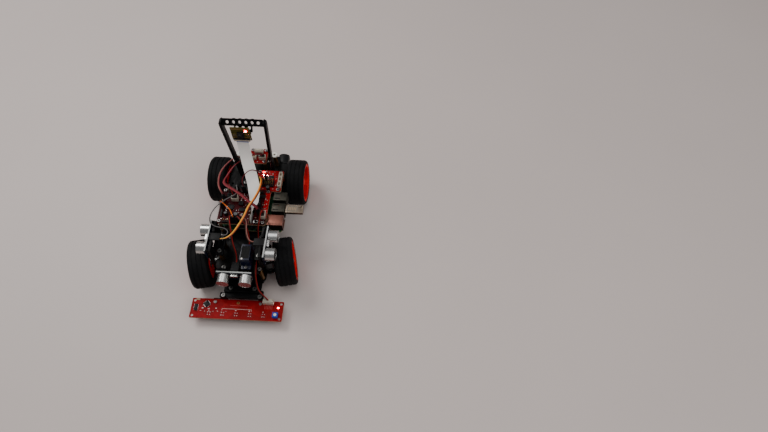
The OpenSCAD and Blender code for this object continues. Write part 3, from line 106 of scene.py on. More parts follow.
class Look:
    """A node material: colour that varies by noise, uneven roughness and a fine bump."""

    def __init__(self, name, color, rough, metal=0.0, vary=0.15, scale=350.0, bump=0.15, bump_scale=2500.0,
                 coat=0.0, specular=0.5):
        self.mat = bpy.data.materials.new(name)
        self.mat.use_nodes = True
        self.tree = self.mat.node_tree
        self.bsdf = self.tree.nodes["Principled BSDF"]
        self.bsdf.inputs["Metallic"].default_value = metal
        self.bsdf.inputs["Coat Weight"].default_value = coat
        self.bsdf.inputs["Coat Roughness"].default_value = 0.15
        self.bsdf.inputs["Specular IOR Level"].default_value = specular
        self.where = self.node("ShaderNodeTexCoord").outputs["Object"]
        dark, light = shade(color, 1 - vary), shade(color, 1 + vary)
        self.color = self.ramp(self.noise(scale, 4.0), 0.3, 0.7, dark, light)
        self.link(self.color, self.bsdf.inputs["Base Color"])
        spread = min(0.12, rough * 0.35)
        uneven = self.node("ShaderNodeMapRange")
        self.link(self.noise(scale * 0.6, 3.0), uneven.inputs["Value"])
        uneven.inputs["To Min"].default_value = max(rough - spread, 0.02)
        uneven.inputs["To Max"].default_value = min(rough + spread, 1.0)
        self.link(uneven.outputs["Result"], self.bsdf.inputs["Roughness"])
        self.bump_node = self.node("ShaderNodeBump")
        self.bump_node.inputs["Strength"].default_value = bump
        self.bump_node.inputs["Distance"].default_value = 0.0001
        self.link(self.noise(bump_scale, 3.0), self.bump_node.inputs["Height"])
        self.link(self.bump_node.outputs["Normal"], self.bsdf.inputs["Normal"])

    def node(self, kind):
        return self.tree.nodes.new(kind)

    def link(self, a, b):
        self.tree.links.new(a, b)

    def noise(self, scale, detail):
        n = self.node("ShaderNodeTexNoise")
        n.inputs["Scale"].default_value = scale
        n.inputs["Detail"].default_value = detail
        self.link(self.where, n.inputs["Vector"])
        return n.outputs["Fac"]

    def ramp(self, value, a, b, low, high):
        r = self.node("ShaderNodeValToRGB")
        r.color_ramp.elements[0].position = a
        r.color_ramp.elements[0].color = low
        r.color_ramp.elements[1].position = b
        r.color_ramp.elements[1].color = high
        self.link(value, r.inputs["Fac"])
        return r.outputs["Color"]

    def mix(self, mask, a, b):
        m = self.node("ShaderNodeMix")
        m.data_type = "RGBA"
        self.link(mask, m.inputs[0])
        for value, socket in ((a, m.inputs[6]), (b, m.inputs[7])):
            if isinstance(value, tuple):
                socket.default_value = value
            else:
                self.link(value, socket)
        return m.outputs[2]

    def recolor(self, color):
        self.link(color, self.bsdf.inputs["Base Color"])
        self.color = color


def traces(look, color, scale=190.0):
    """Copper tracks under the solder mask: thin bands at right angles in two sizes."""
    v = look.node("ShaderNodeTexVoronoi")
    v.distance = "CHEBYCHEV"
    v.inputs["Scale"].default_value = scale
    v.inputs["Randomness"].default_value = 0.8
    look.link(look.where, v.inputs["Vector"])
    wave = look.node("ShaderNodeMath")
    wave.operation = "PINGPONG"
    wave.inputs[1].default_value = 0.07
    look.link(v.outputs["Distance"], wave.inputs[0])
    band = look.ramp(wave.outputs["Value"], 0.028, 0.034, (0, 0, 0, 1), (1, 1, 1, 1))
    patch = look.ramp(look.noise(70.0, 1.0), 0.5, 0.53, (0, 0, 0, 1), (1, 1, 1, 1))
    both = look.node("ShaderNodeMath")
    both.operation = "MULTIPLY"
    look.link(band, both.inputs[0])
    look.link(patch, both.inputs[1])
    look.recolor(look.mix(both.outputs["Value"], look.color, color))


def glowing(name, color, strength):
    look = Look(name, color, 0.3)
    look.bsdf.inputs["Emission Color"].default_value = (*color, 1)
    look.bsdf.inputs["Emission Strength"].default_value = strength
    return look.mat


def board_look(name, color, trace):
    look = Look(name, color, 0.45, vary=0.08, bump=0.06, specular=0.05)
    traces(look, (*trace, 1))
    return look.mat


BLACK = Look("black_acrylic", (0.002, 0.002, 0.0023), 0.42, vary=0.3, specular=0.08).mat
HOUSING = Look("black_housing", (0.005, 0.005, 0.0055), 0.5, vary=0.3, bump=0.3, specular=0.14).mat
CHIP = Look("chip_resin", (0.006, 0.006, 0.007), 0.5, vary=0.25, bump=0.4, bump_scale=6000, specular=0.16).mat
TYRE = Look("tyre_rubber", (0.0035, 0.0035, 0.004), 0.7, vary=0.35, bump=0.5, bump_scale=1800,
            specular=0.12).mat
RIM = Look("rim_red", (0.75, 0.013, 0.011), 0.42, vary=0.08, scale=160, bump=0.12, specular=0.12).mat
STEEL = Look("steel", (0.5, 0.5, 0.49), 0.3, metal=1.0, vary=0.1, bump=0.08).mat
SOCKET = Look("socket_shell", (0.045, 0.042, 0.034), 0.42, metal=1.0, vary=0.25, bump=0.35).mat
SALMON = Look("network_shell", (0.17, 0.07, 0.053), 0.38, metal=1.0, vary=0.3, scale=120, bump=0.3).mat
STICK = Look("stick_shell", (0.17, 0.135, 0.103), 0.42, metal=1.0, vary=0.15, bump=0.25).mat
SCREW = Look("screw_steel", (0.17, 0.165, 0.16), 0.36, metal=1.0, vary=0.15, bump=0.1).mat
CAN = Look("can_aluminium", (0.5, 0.5, 0.488), 0.26, metal=1.0, vary=0.06, bump=0.1).mat
TIN = Look("tin", (0.5, 0.5, 0.5), 0.35, metal=1.0, vary=0.12, bump=0.3).mat
GOLD = Look("gold_pins", (0.6, 0.42, 0.16), 0.3, metal=1.0, vary=0.08).mat
BRASS = Look("brass", (0.38, 0.22, 0.09), 0.36, metal=1.0, vary=0.2, bump=0.15).mat
DARK_TOP = Look("capacitor_top", (0.05, 0.05, 0.052), 0.4, metal=0.6, vary=0.15).mat
NYLON = Look("white_nylon", (0.74, 0.71, 0.65), 0.42, vary=0.06).mat
CREAM = Look("cream_connector", (0.42, 0.37, 0.3), 0.5, vary=0.1, specular=0.3).mat
RED_PCB = board_look("red_board", (0.2, 0.003, 0.005), (0.27, 0.005, 0.008))
# The driver board's mask is a shaded copy of the red board, much darker than the other red boards: painted
# shade.
SHADED_RED_PCB = board_look("red_board_shaded", (0.03, 0.0015, 0.0025), (0.06, 0.003, 0.005))
# The driver board's bare right edge, its red painted brighter than the other red boards: painted light, the
# lit copy of the shaded driver board.
LIT_RED_MARGIN = Look("red_margin_painted_light", (0.34, 0.006, 0.009), 0.45, vary=0.1, specular=0.06).mat
GREEN_PCB = board_look("green_board", (0.004, 0.04, 0.018), (0.01, 0.07, 0.03))
BLUE_PCB = board_look("blue_board", (0.004, 0.006, 0.016), (0.012, 0.016, 0.03))
OLIVE_PCB = board_look("olive_board", (0.06, 0.05, 0.01), (0.12, 0.09, 0.02))
FIBRE = Look("board_edge", (0.36, 0.27, 0.16), 0.6, vary=0.12, scale=900, specular=0.2).mat
PALE_EDGE = Look("pale_board_edge", (0.4, 0.41, 0.4), 0.5, vary=0.15, scale=900).mat
SERVO = Look("servo_blue", (0.002, 0.004, 0.02), 0.3, vary=0.15, specular=0.3).mat
TRIMMER = Look("trimmer_blue", (0.01, 0.04, 0.32), 0.45, vary=0.08, specular=0.2).mat
KNUCKLE = Look("knuckle_metal", (0.1, 0.1, 0.105), 0.42, metal=1.0, vary=0.15, bump=0.3).mat
CAN_BLACK = Look("motor_black", (0.004, 0.004, 0.0045), 0.4, vary=0.3, specular=0.25).mat
CELL = Look("cell_wrap", (0.02, 0.16, 0.4), 0.3, vary=0.08, coat=0.3).mat
SILK = Look("silk_white", (0.5, 0.4, 0.36), 0.6, vary=0.12, specular=0.2).mat
SILK_FAINT = Look("silk_faint", (0.5, 0.1, 0.09), 0.6, vary=0.15, specular=0.2).mat
SILK_DARK = Look("mask_opening", (0.12, 0.012, 0.008), 0.5, vary=0.25, specular=0.2).mat
PRINT = Look("stick_print", (0.13, 0.105, 0.075), 0.5, vary=0.15).mat
OLIVE = Look("bare_copper", (0.22, 0.13, 0.035), 0.45, metal=0.6, vary=0.15).mat
BEIGE = Look("capacitor", (0.3, 0.2, 0.11), 0.5, vary=0.15).mat
RIBBON = Look("ribbon_white", (0.8, 0.77, 0.735), 0.42, vary=0.03, scale=60, specular=0.3).mat
RIBBON_END = Look("ribbon_end", (0.02, 0.1, 0.42), 0.4, vary=0.05).mat
# Flat black: painted shade in hollows (the screws' cross recesses, the slots in the socket shells), and the
# real dark seams of the servo case and the stick's cap.
SHADE_AND_SEAM_BLACK = Look("painted_shade_and_seams", (0.003, 0.003, 0.003), 0.7, specular=0.1).mat
MESH = Look("grille", (0.012, 0.012, 0.012), 0.9, vary=0.4, scale=2500, bump=0.8, bump_scale=1500,
            specular=0.02).mat
# Flat red discs and patches that glow on the boards at the LEDs: painted glow of the LEDs on the board.
LED_GLOW_PATCH = glowing("painted_led_glow", (1.0, 0.01, 0.02), 7.0)
LED_HOT = glowing("led_hot", (1.0, 0.3, 0.3), 70.0)
LED_WHITE = glowing("led_white", (1.0, 0.75, 0.7), 60.0)

WIRE_COLORS = {
    "yellow": (0.85, 0.47, 0.07), "orange": (0.7, 0.13, 0.008), "brown": (0.035, 0.012, 0.006),
    "red": (0.26, 0.006, 0.006), "mauve": (0.25, 0.03, 0.04), "crimson": (0.1, 0.006, 0.01),
    "black": (0.005, 0.005, 0.006), "pink": (0.3, 0.12, 0.1), "grey": (0.12, 0.11, 0.11),
}
WIRE = {name: Look("wire_" + name, color, 0.45, vary=0.1, bump=0.1, specular=0.2).mat
        for name, color in WIRE_COLORS.items()}


# ---------------------------------------------------------------------------
# Mesh kit
# ---------------------------------------------------------------------------

def own_slot(node):
    for entry in frame["record"]["subparts"]:
        if entry["node"] == node:
            return entry["material_slot"]


def body_of(node):
    for body, members in frame["record"]["behaviour"]["bodies"].items():
        if node in members:
            return body


def settle(obj, node):
    """The object rides with the body of a CAD node; the node's material slot is looked up but not given to
    it.
    """
    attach(obj, body_of(node))
    own_slot(node)
    return obj


SMOOTH_UNDER = math.radians(35)


def link_mesh(name, bm, mats):
    mesh = bpy.data.meshes.new(name)
    bm.to_mesh(mesh)
    bm.free()
    for m in mats:
        mesh.materials.append(m)
    mesh.shade_smooth()
    mesh.set_sharp_from_angle(angle=SMOOTH_UNDER)
    obj = bpy.data.objects.new(name, mesh)
    bpy.context.scene.collection.objects.link(obj)
    return obj


class Kit:
    """Collects small shapes, in millimetres in the row frame, into one object."""

    def __init__(self, name, node):
        self.name, self.node = name, node
        self.bm = bmesh.new()
        self.mats = []
        self.turn = Matrix.Identity(4)

    def index(self, mat):
        if mat not in self.mats:
            self.mats.append(mat)
        return self.mats.index(mat)

    def place(self, verts, faces, mat):
        for v in verts:
            v.co = (self.turn @ v.co) * MM
        for f in faces:
            f.material_index = self.index(mat)

    def box(self, lo, hi, mat, bevel=0.12, turn=0.0):
        """Box with broken edges, turned by an angle about its own vertical axis."""
        lo, hi = Vector(lo), Vector(hi)
        size, centre = hi - lo, (lo + hi) / 2
        made = bmesh.ops.create_cube(self.bm, size=1.0)["verts"]
        spin = Matrix.Rotation(math.radians(turn), 4, "Z")
        for v in made:
            v.co = centre + spin @ Vector((v.co.x * size.x, v.co.y * size.y, v.co.z * size.z))
        edges = {e for v in made for e in v.link_edges}
        if bevel:
            limit = min(size) * 0.45
            out = bmesh.ops.bevel(self.bm, geom=list(edges), offset=min(bevel, limit), segments=1,
                                  affect="EDGES", profile=0.5)
            made = list({v for f in out["faces"] for v in f.verts} | {v for v in made if v.is_valid})
        faces = {f for v in made for f in v.link_faces}
        self.place(made, faces, mat)

    def lathe(self, origin, axis, profile, mat, seg=24):
        """Turns a profile of (radius, distance along the axis) points about an axis. Open ends are capped."""
        spin = Vector(axis).to_track_quat("Z", "Y").to_matrix().to_4x4()
        spin.translation = Vector(origin)
        rings = []
        for r, z in profile:
            if r < 1e-6:
                rings.append([self.bm.verts.new(spin @ Vector((0, 0, z)))])
            else:
                rings.append([self.bm.verts.new(spin @ Vector((r * math.cos(a), r * math.sin(a), z)))
                              for a in (2 * math.pi * i / seg for i in range(seg))])
        faces = []
        for a, b in zip(rings, rings[1:]):
            for i in range(seg):
                j = (i + 1) % seg
                quad = [a[i % len(a)], a[j % len(a)], b[j % len(b)], b[i % len(b)]]
                corners = list(dict.fromkeys(quad))
                if len(corners) > 2:
                    faces.append(self.bm.faces.new(corners))
        for ring, flip in ((rings[0], True), (rings[-1], False)):
            if len(ring) > 2:
                faces.append(self.bm.faces.new(ring[::-1] if flip else ring))
        self.place([v for ring in rings for v in ring], faces, mat)

    def done(self):
        bmesh.ops.recalc_face_normals(self.bm, faces=self.bm.faces)
        settle(link_mesh(self.name, self.bm, self.mats), self.node)


BEVEL_OVER = math.radians(38)
FLAT_UNDER = math.radians(0.5)


def dress(node, mat, bevel=0.25, edge_mat=None, zones=()):
    """A copy of a CAD node with broken edges, shown in its place. edge_mat goes on its upright faces.

    zones are (material, test) pairs; test takes a face's centre in mm and its normal.
    """
    bm = bmesh.new()
    bm.from_mesh(frame["nodes"][node].data)
    bmesh.ops.remove_doubles(bm, verts=bm.verts, dist=1e-6)
    bmesh.ops.dissolve_limit(bm, angle_limit=FLAT_UNDER, verts=bm.verts, edges=bm.edges)
    if bevel:
        sharp = [e for e in bm.edges if len(e.link_faces) == 2 and e.calc_face_angle() > BEVEL_OVER]
        bmesh.ops.bevel(bm, geom=sharp, offset=bevel * MM, segments=2, affect="EDGES", profile=0.6,
                        clamp_overlap=True)
    mats = [mat]
    for f in bm.faces:
        f.material_index = 0
    if edge_mat:
        mats.append(edge_mat)
        for f in bm.faces:
            f.material_index = 1 if abs(f.normal.z) < 0.35 else 0
    for zone_mat, test in zones:
        mats.append(zone_mat)
        for f in bm.faces:
            if test(f.calc_center_median() / MM, f.normal):
                f.material_index = len(mats) - 1
    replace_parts(settle(link_mesh(node + "_shown", bm, mats), node), node)


# ---------------------------------------------------------------------------
# Wires: the routes of the CAD model, one smooth curve for each wire
# ---------------------------------------------------------------------------

ROUTES = {
    "yellow": [
        (14.5, 51, 82.5), (14.5, 51, 84.5), (15.5, 49, 88.5), (19, 42, 92.5), (20, 24, 97), (17, 6, 101),
        (12, -8, 102), (9, -22, 102), (3, -34, 98), (-5, -44.5, 93), (-12, -49.6, 91.2),
        (-17, -50.5, 90.8), (-19.4, -50.5, 90.8)],
    "mauve": [
        (8, 95.5, 76), (8, 95.4, 78.5), (6, 92.5, 83), (-2, 86, 88), (-20, 66, 92), (-28, 46, 93),
        (-29, 32, 96), (-13, 20.5, 97), (-2, 13, 97), (9, 4, 96.5), (16, -0.5, 95.5), (19.4, -1.9, 92.8),
        (20, -2, 90.5), (20, -2, 88.5)],
    "crimson": [
        (-5, 32.8, 88.5), (-5, 32.9, 90.5), (-5.4, 34.3, 95.5), (-3.5, 38, 102), (1.5, 43, 106.5),
        (8, 46, 108), (14, 47, 105), (18, 50.5, 97), (19.8, 55.4, 88), (20, 56.35, 84.5), (20, 56.35, 82.5)],
    "orange": [
        (-30.2, 6, 88.5), (-30.2, 6, 89.6), (-29.5, 5.4, 91.7), (-27.9, 4.05, 92.6), (-20, -2.5, 92.6),
        (-14, -8.5, 92.7), (-11.5, -13.2, 92.7), (-10.4, -15.1, 91.8), (-10, -15.8, 89.6),
        (-10, -15.8, 88.5)],
    "black": [
        (-14, 32.8, 88.5), (-14, 32.8, 89.6), (-13.7, 31.95, 91.7), (-13, 29.8, 92.7), (-10.6, 23, 93.5),
        (-11.2, 16.5, 93.6), (-15.8, 11.5, 94.5), (-22.5, 5, 96), (-31, -5, 96.4), (-36, -17, 96.5),
        (-35, -29, 97.5), (-29, -36, 97.5), (-21.5, -37, 95.8), (-14.5, -37.8, 94), (-10.9, -41.4, 92.4),
        (-13.2, -45, 91.2), (-17, -45.5, 90.8), (-19.4, -45.5, 90.8)],
    "front": [
        (-14, -15.8, 88.5), (-14, -15.8, 89.6), (-13.9, -16.7, 91.7), (-13.5, -18.9, 92.8),
        (-12.4, -25, 92.4), (-10, -34, 88.5), (-7, -48, 77), (-3.2, -58, 64.5), (-2.5, -64.2, 59.2),
        (-2.5, -66.9, 58.85)],
    "servo": [
        (12, -49.1, 65), (12, -46.8, 65.2), (11.9, -42.5, 68.2), (11, -34, 76.5), (6, -25, 90.5),
        (0.5, -21.6, 93), (-2.9, -17.8, 92.7), (-4.5, -16.35, 91.7), (-5.2, -15.8, 89.6),
        (-5.2, -15.8, 88.5)],
    "left_sonar": [
        (23.9, -53, 90.85), (21.6, -53, 90.85), (17.5, -51.2, 91.2), (13, -42, 93.5), (10, -26, 97),
        (4, -19.8, 96.2), (0.4, -16.6, 94), (-0.8, -15.8, 91.2), (-0.8, -15.8, 88.5)],
    "motor": [
        (-31, 114, 42.55), (-31.1, 113.8, 44.8), (-33.2, 108.5, 53), (-37, 92, 66), (-40, 72, 78),
        (-40, 50, 89), (-37, 32, 94), (-33.4, 23, 95), (-30.8, 19.6, 92.8), (-30.2, 19, 90.5),
        (-30.2, 19, 88.5)],
    "battery": [
        (-20.5, 41.5, 38), (-21.6, 41.5, 38), (-23.7, 41.5, 38.9), (-24.6, 41.5, 41), (-25.6, 41.5, 46),
        (-26.5, 41.6, 54), (-27, 42, 70), (-26.4, 40.5, 80), (-23.2, 33, 89), (-18.4, 24.2, 91),
        (-16.3, 20.6, 88.4), (-16, 20, 85.5), (-16, 20, 82.5)],
    "line": [
        (38, -101.6, 22.5), (38, -101.6, 24.6), (36.6, -100.8, 28), (32, -98, 31), (26.5, -93, 35),
        (24, -86, 42), (23, -79, 50), (22.5, -70, 54), (21.5, -52, 55), (21, -34, 60), (22, -22, 77.5),
        (23.8, -14.5, 84.8), (25.1, -9.1, 90), (25.7, -7, 91), (26, -4.9, 90.1), (26, -4, 88),
        (26, -4, 85), (26, -4, 82.5)],
}

# route: CAD node, wire colours, sideways spread in mm, wire diameter in mm
BUNDLES = {
    "yellow": ("signal_wires", ("yellow", "orange", "brown"), (1.25, 0, 0), 1.3),
    "mauve": ("signal_wires", ("mauve", "mauve", "crimson"), (0.9, 0.9, 0), 1.2),
    "crimson": ("signal_wires", ("crimson",), (1, 0, 0), 1.3),
    "orange": ("signal_wires", ("orange",), (0, 1.3, 0), 1.3),
    "black": ("sonar_wires", ("black", "grey"), (0.8, 0, 0.9), 1.2),
    "front": ("sonar_wires", ("brown", "red"), (1.25, 0, 0), 1.25),
    "servo": ("signal_wires", ("brown", "red"), (1.2, 0, 0), 1.15),
    "left_sonar": ("sonar_wires", ("brown", "pink"), (0.9, 0.9, 0), 1.2),
    "motor": ("power_wires", ("pink", "mauve"), (1.2, 0, 0.3), 1.2),
    "battery": ("power_wires", ("red", "black"), (1.35, 0, 0), 1.35),
    "line": ("signal_wires", ("brown", "red"), (1.25, 0, 0), 1.2),
}
STEPS = 10


def catmull(points, steps):
    """Centripetal Catmull-Rom curve through the points."""
    p = [Vector(q) for q in points]
    p = [2 * p[0] - p[1]] + p + [2 * p[-1] - p[-2]]
    line = []
    for a, b, c, d in zip(p, p[1:], p[2:], p[3:]):
        t1 = (b - a).length ** 0.5
        t2 = t1 + (c - b).length ** 0.5
        t3 = t2 + (d - c).length ** 0.5
        for s in range(steps):
            t = t1 + (t2 - t1) * s / steps
            ab = (a * (t1 - t) + b * t) / t1
            bc = (b * (t2 - t) + c * (t - t1)) / (t2 - t1)
            cd = (c * (t3 - t) + d * (t - t2)) / (t3 - t2)
            abc = (ab * (t2 - t) + bc * t) / t2
            bcd = (bc * (t3 - t) + cd * (t - t1)) / (t3 - t1)
            line.append((abc * (t2 - t) + bcd * (t - t1)) / (t2 - t1))
    line.append(p[-2])
    return line


def length_of(line):
    return sum((b - a).length for a, b in zip(line, line[1:]))


def eased(line, step=0.5, passes=14):
    """The line in even steps with its tight turns eased. Its ends keep their place and direction."""
    count = max(8, round(length_of(line) / step))
    gap = length_of(line) / count
    out, walked, want = [line[0]], 0.0, gap
    for a, b in zip(line, line[1:]):
        span = (b - a).length
        while walked + span >= want and len(out) < count:
            out.append(a.lerp(b, (want - walked) / span))
            want += gap
        walked += span
    out.append(line[-1])
    for _ in range(passes):
        middle = [(a + 2 * b + c) / 4 for a, b, c in zip(out[1:-3], out[2:-2], out[3:-1])]
        out = out[:2] + middle + out[-2:]
    return out


def make_wires():
    for route, (node, colors, spread, thick) in BUNDLES.items():
        for i, color in enumerate(colors):
            shift = Vector(spread) * (i - (len(colors) - 1) / 2)
            line = eased(catmull([Vector(q) + shift for q in ROUTES[route]], STEPS))
            name = f"wire_{route}_{i + 1}"
            data = bpy.data.curves.new(name, "CURVE")
            data.dimensions = "3D"
            data.bevel_depth = thick / 2 * MM
            data.bevel_resolution = 3
            data.use_fill_caps = True
            spline = data.splines.new("POLY")
            spline.points.add(len(line) - 1)
            for point, place in zip(spline.points, line):
                point.co = (*(place * MM), 1)
            spline.use_smooth = True
            data.materials.append(WIRE[color])
            wire = bpy.data.objects.new(name, data)
            bpy.context.scene.collection.objects.link(wire)
            settle(wire, node)
            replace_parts(wire, node)
            length_of(line) * MM


RIBBON_ROUTE = [(-3, 71.2, 137.3), (-3, 70, 131), (0, 60, 114), (6, 44, 101), (11, 28, 92), (12.5, 14, 86),
                (11, 3, 81), (10, -4, 76), (10, -6.5, 70), (10, -6.5, 63.4)]
RIBBON_TURN = [0, 0, 0, 0, 12, 55, 85, 90, 90, 90]
RIBBON_W = 16.0
RIBBON_T = 0.3
TOP_TAB_ROWS = 4
LOW_TAB_ROWS = 8


def make_ribbon():
    """The flat camera cable: a thin strip that twists once on its way down, with a tab at each end."""
    line = catmull(RIBBON_ROUTE, STEPS)
    bm = bmesh.new()
    rows = []
    for i, here in enumerate(line):
        k, t = divmod(i, STEPS)
        k = min(k, len(RIBBON_TURN) - 1)
        after = RIBBON_TURN[min(k + 1, len(RIBBON_TURN) - 1)]
        smooth = (t / STEPS) ** 2 * (3 - 2 * t / STEPS)
        a = math.radians(RIBBON_TURN[k] + (after - RIBBON_TURN[k]) * smooth)
        along = (line[min(i + 1, len(line) - 1)] - line[max(i - 1, 0)]).normalized()
        want = Vector((math.cos(a), -math.sin(a), 0))
        across = (want - want.dot(along) * along).normalized()
        up = along.cross(across)
        cuts = (-1, -0.94, -0.5, 0, 0.5, 0.94, 1)
        top = [here + across * RIBBON_W / 2 * c + up * RIBBON_T / 2 for c in cuts]
        low = [here + across * RIBBON_W / 2 * c - up * RIBBON_T / 2 for c in cuts]
        rows.append([bm.verts.new(q * MM) for q in top + low[::-1]])
    n = len(rows[0])
    for i, (a, b) in enumerate(zip(rows, rows[1:])):
        for j in range(n):
            f = bm.faces.new((a[j], a[(j + 1) % n], b[(j + 1) % n], b[j]))
            f.material_index = 1 if i < TOP_TAB_ROWS or i > len(rows) - LOW_TAB_ROWS else 0
    bm.faces.new(rows[0][::-1])
    bm.faces.new(rows[-1])
    bmesh.ops.recalc_face_normals(bm, faces=bm.faces)
    strip = settle(link_mesh("camera_ribbon_strip", bm, [RIBBON, RIBBON_END]), "camera_ribbon")
    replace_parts(strip, "camera_ribbon")
    length_of(line) * MM


FLOOR_HALF = 2.2


def make_floor():
    bm = bmesh.new()
    bmesh.ops.create_grid(bm, x_segments=8, y_segments=8, size=FLOOR_HALF)
    look = Look("floor", (0.565, 0.492, 0.468), 0.55, vary=0.02, scale=3, bump=0.03)
    link_mesh("floor", bm, [look.mat])


make_camera()
make_wires()
make_ribbon()
make_lights()
make_floor()

# CAD nodes whose shape is right: the same solid with broken edges and a finish
PLAIN = {
    "upper_plate": (BLACK, 0.3), "front_lower_plate": (BLACK, 0.3), "rear_lower_plate": (BLACK, 0.3),
    "front_sonar_bracket": (BLACK, 0.25), "left_sonar_bracket": (BLACK, 0.25),
    "right_sonar_bracket": (BLACK, 0.25), "left_motor_bracket": (BLACK, 0.25),
    "right_motor_bracket": (BLACK, 0.25), "camera_arch": (BLACK, 0.35), "camera_bracket": (BLACK, 0.2),
    "plate_standoffs": (BRASS, 0.15), "post_caps": (NYLON, 0.2), "chassis_screws": (SCREW, 0.12),
    "kingpin_bearings": (STEEL, 0.15), "line_sensor_emitters": (HOUSING, 0.2),
    "trimmer_body": (TRIMMER, 0.8), "trimmer_screw": (NYLON, 0.08), "sonar_cans": (CAN, 0.15),
    "camera_lens": (CHIP, 0.12), "board_chips": (CHIP, 0.1),
    "pin_headers": (HOUSING, 0.12), "white_connectors": (CREAM, 0.15), "switch_body": (SCREW, 0.12),
    "switch_slider": (HOUSING, 0.12), "usb_stick": (STICK, 0.35), "bar_hangers": (CAN_BLACK, 0.2),
    "servo_case": (SERVO, 0.35),
    "servo_horn": (NYLON, 0.2), "tie_rod": (HOUSING, 0.25), "left_knuckle": (KNUCKLE, 0.25),
    "right_knuckle": (KNUCKLE, 0.25), "output_shaft_left": (NYLON, 0.2), "output_shaft_right": (NYLON, 0.2),
    "gearboxes": (HOUSING, 0.3), "motor_cans": (CAN_BLACK, 0.3), "battery_holder": (HOUSING, 0.4),
    "battery_cells": (CELL, 0.3),
    "front_left_bearings": (STEEL, 0.2), "front_right_bearings": (STEEL, 0.2),
}
for node, (mat, bevel) in PLAIN.items():
    dress(node, mat, bevel)
# The driver board takes the shaded red: painted shade on its mask.
for node, mat in {"line_sensor_board": RED_PCB, "driver_hat_board": SHADED_RED_PCB, "pwm_board": RED_PCB,
                  "motor_driver_board": RED_PCB, "computer_board": GREEN_PCB}.items():
    dress(node, mat, 0.0, edge_mat=FIBRE)
dress("sonar_boards", BLUE_PCB, 0.0, zones=[(PALE_EDGE, lambda c, n: abs(n.z) > 0.7)])
dress("computer_sockets", SOCKET, 0.2, zones=[(SALMON, lambda c, n: c.x > 28 and c.y < 1)])
dress("camera_board", OLIVE_PCB, 0.0)
dress("wire_plugs", HOUSING, 0.2, zones=[(CREAM, lambda c, n: c.z < 30)])
for corner in ("front_left", "front_right", "rear_left", "rear_right"):
    dress(corner + "_tyre", TYRE, 0.0)
    dress(corner + "_hub", RIM, 0.3)

# ---------------------------------------------------------------------------
# Small parts of the boards, in mm. A chip part lies along X or Y with tinned ends
# ---------------------------------------------------------------------------

def chip_part(kit, x, y, z, long=1.6, wide=0.8, high=0.55, mat=None, along_x=True):
    half = Vector((long / 2, wide / 2)) if along_x else Vector((wide / 2, long / 2))
    kit.box((x - half.x, y - half.y, z), (x + half.x, y + half.y, z + high), mat or CHIP, bevel=0.06)
    for side in (-1, 1):
        end = Vector((side * long * 0.4, 0)) if along_x else Vector((0, side * long * 0.4))
        size = Vector((long * 0.13, wide * 0.53)) if along_x else Vector((wide * 0.53, long * 0.13))
        kit.box((x + end.x - size.x, y + end.y - size.y, z),
                (x + end.x + size.x, y + end.y + size.y, z + high + 0.03), TIN, bevel=0.05)


def scatter(kit, lo, hi, z, count, keep_out):
    """Strews small parts over a board, clear of the boxes (x0, y0, x1, y1) in keep_out."""
    placed = []
    while len(placed) < count:
        x, y = rng.uniform(lo[0], hi[0]), rng.uniform(lo[1], hi[1])
        if any(x0 - 1.2 < x < x1 + 1.2 and y0 - 1.2 < y < y1 + 1.2 for x0, y0, x1, y1 in keep_out):
            count -= 0.2
            continue
        if any(abs(x - a) < 2 and abs(y - b) < 2 for a, b in placed):
            count -= 0.2
            continue
        placed.append((x, y))
        chip_part(kit, x, y, z, *rng.choice(((1.6, 0.8, 0.5), (2.0, 1.2, 0.8), (1.2, 0.6, 0.4))),
                  rng.choice((CHIP, BEIGE, CHIP, SILK)), rng.random() < 0.5)


def legs(kit, centre, half_x, half_y, z, pitch, count, turn=0.0, sides="x"):
    """Tinned legs along the sides of a chip."""
    spin = Matrix.Rotation(math.radians(turn), 4, "Z")
    for side in (-1, 1):
        for i in range(count):
            step = (i - (count - 1) / 2) * pitch
            for axis in sides:
                at = Vector((side * half_x, step, 0)) if axis == "x" else Vector((step, side * half_y, 0))
                reach = Vector((0.5, 0.14, 0)) if axis == "x" else Vector((0.14, 0.5, 0))
                kit.turn = Matrix.Translation(Vector((*centre, z))) @ spin
                kit.box(at - reach, at + reach + Vector((0, 0, 0.35)), TIN, bevel=0.04)
    kit.turn = Matrix.Identity(4)


PIN_PITCH = 2.54
PIN_HALF = 0.32


def pins(kit, x, y, z0, z1, nx, ny, pitch=PIN_PITCH):
    for i in range(nx):
        for j in range(ny):
            px, py = x + (i - (nx - 1) / 2) * pitch, y + (j - (ny - 1) / 2) * pitch
            kit.box((px - PIN_HALF, py - PIN_HALF, z0), (px + PIN_HALF, py + PIN_HALF, z1), GOLD, bevel=0.12)


def round_can(kit, x, y, z, r, h):
    """Electrolytic capacitor with a rolled rim."""
    side = [(0, 0), (r, 0), (r, h * 0.1), (r * 0.93, h * 0.16), (r, h * 0.22), (r, h - 0.4), (r - 0.35, h),
            (0, h)]
    kit.lathe((x, y, z), UP, side, CHIP)
    kit.lathe((x, y, z + h), UP, [(0, 0.01), (r * 0.78, 0.01), (r * 0.8, 0.06), (0, 0.06)], DARK_TOP)


BAR_TOP = 14.0
HAT_TOP = 74.0
SMALL_TOP = 68.0
PRINT_H = 0.08
STRIP_H = 2.5
STRIP_PIN_H = 8.5


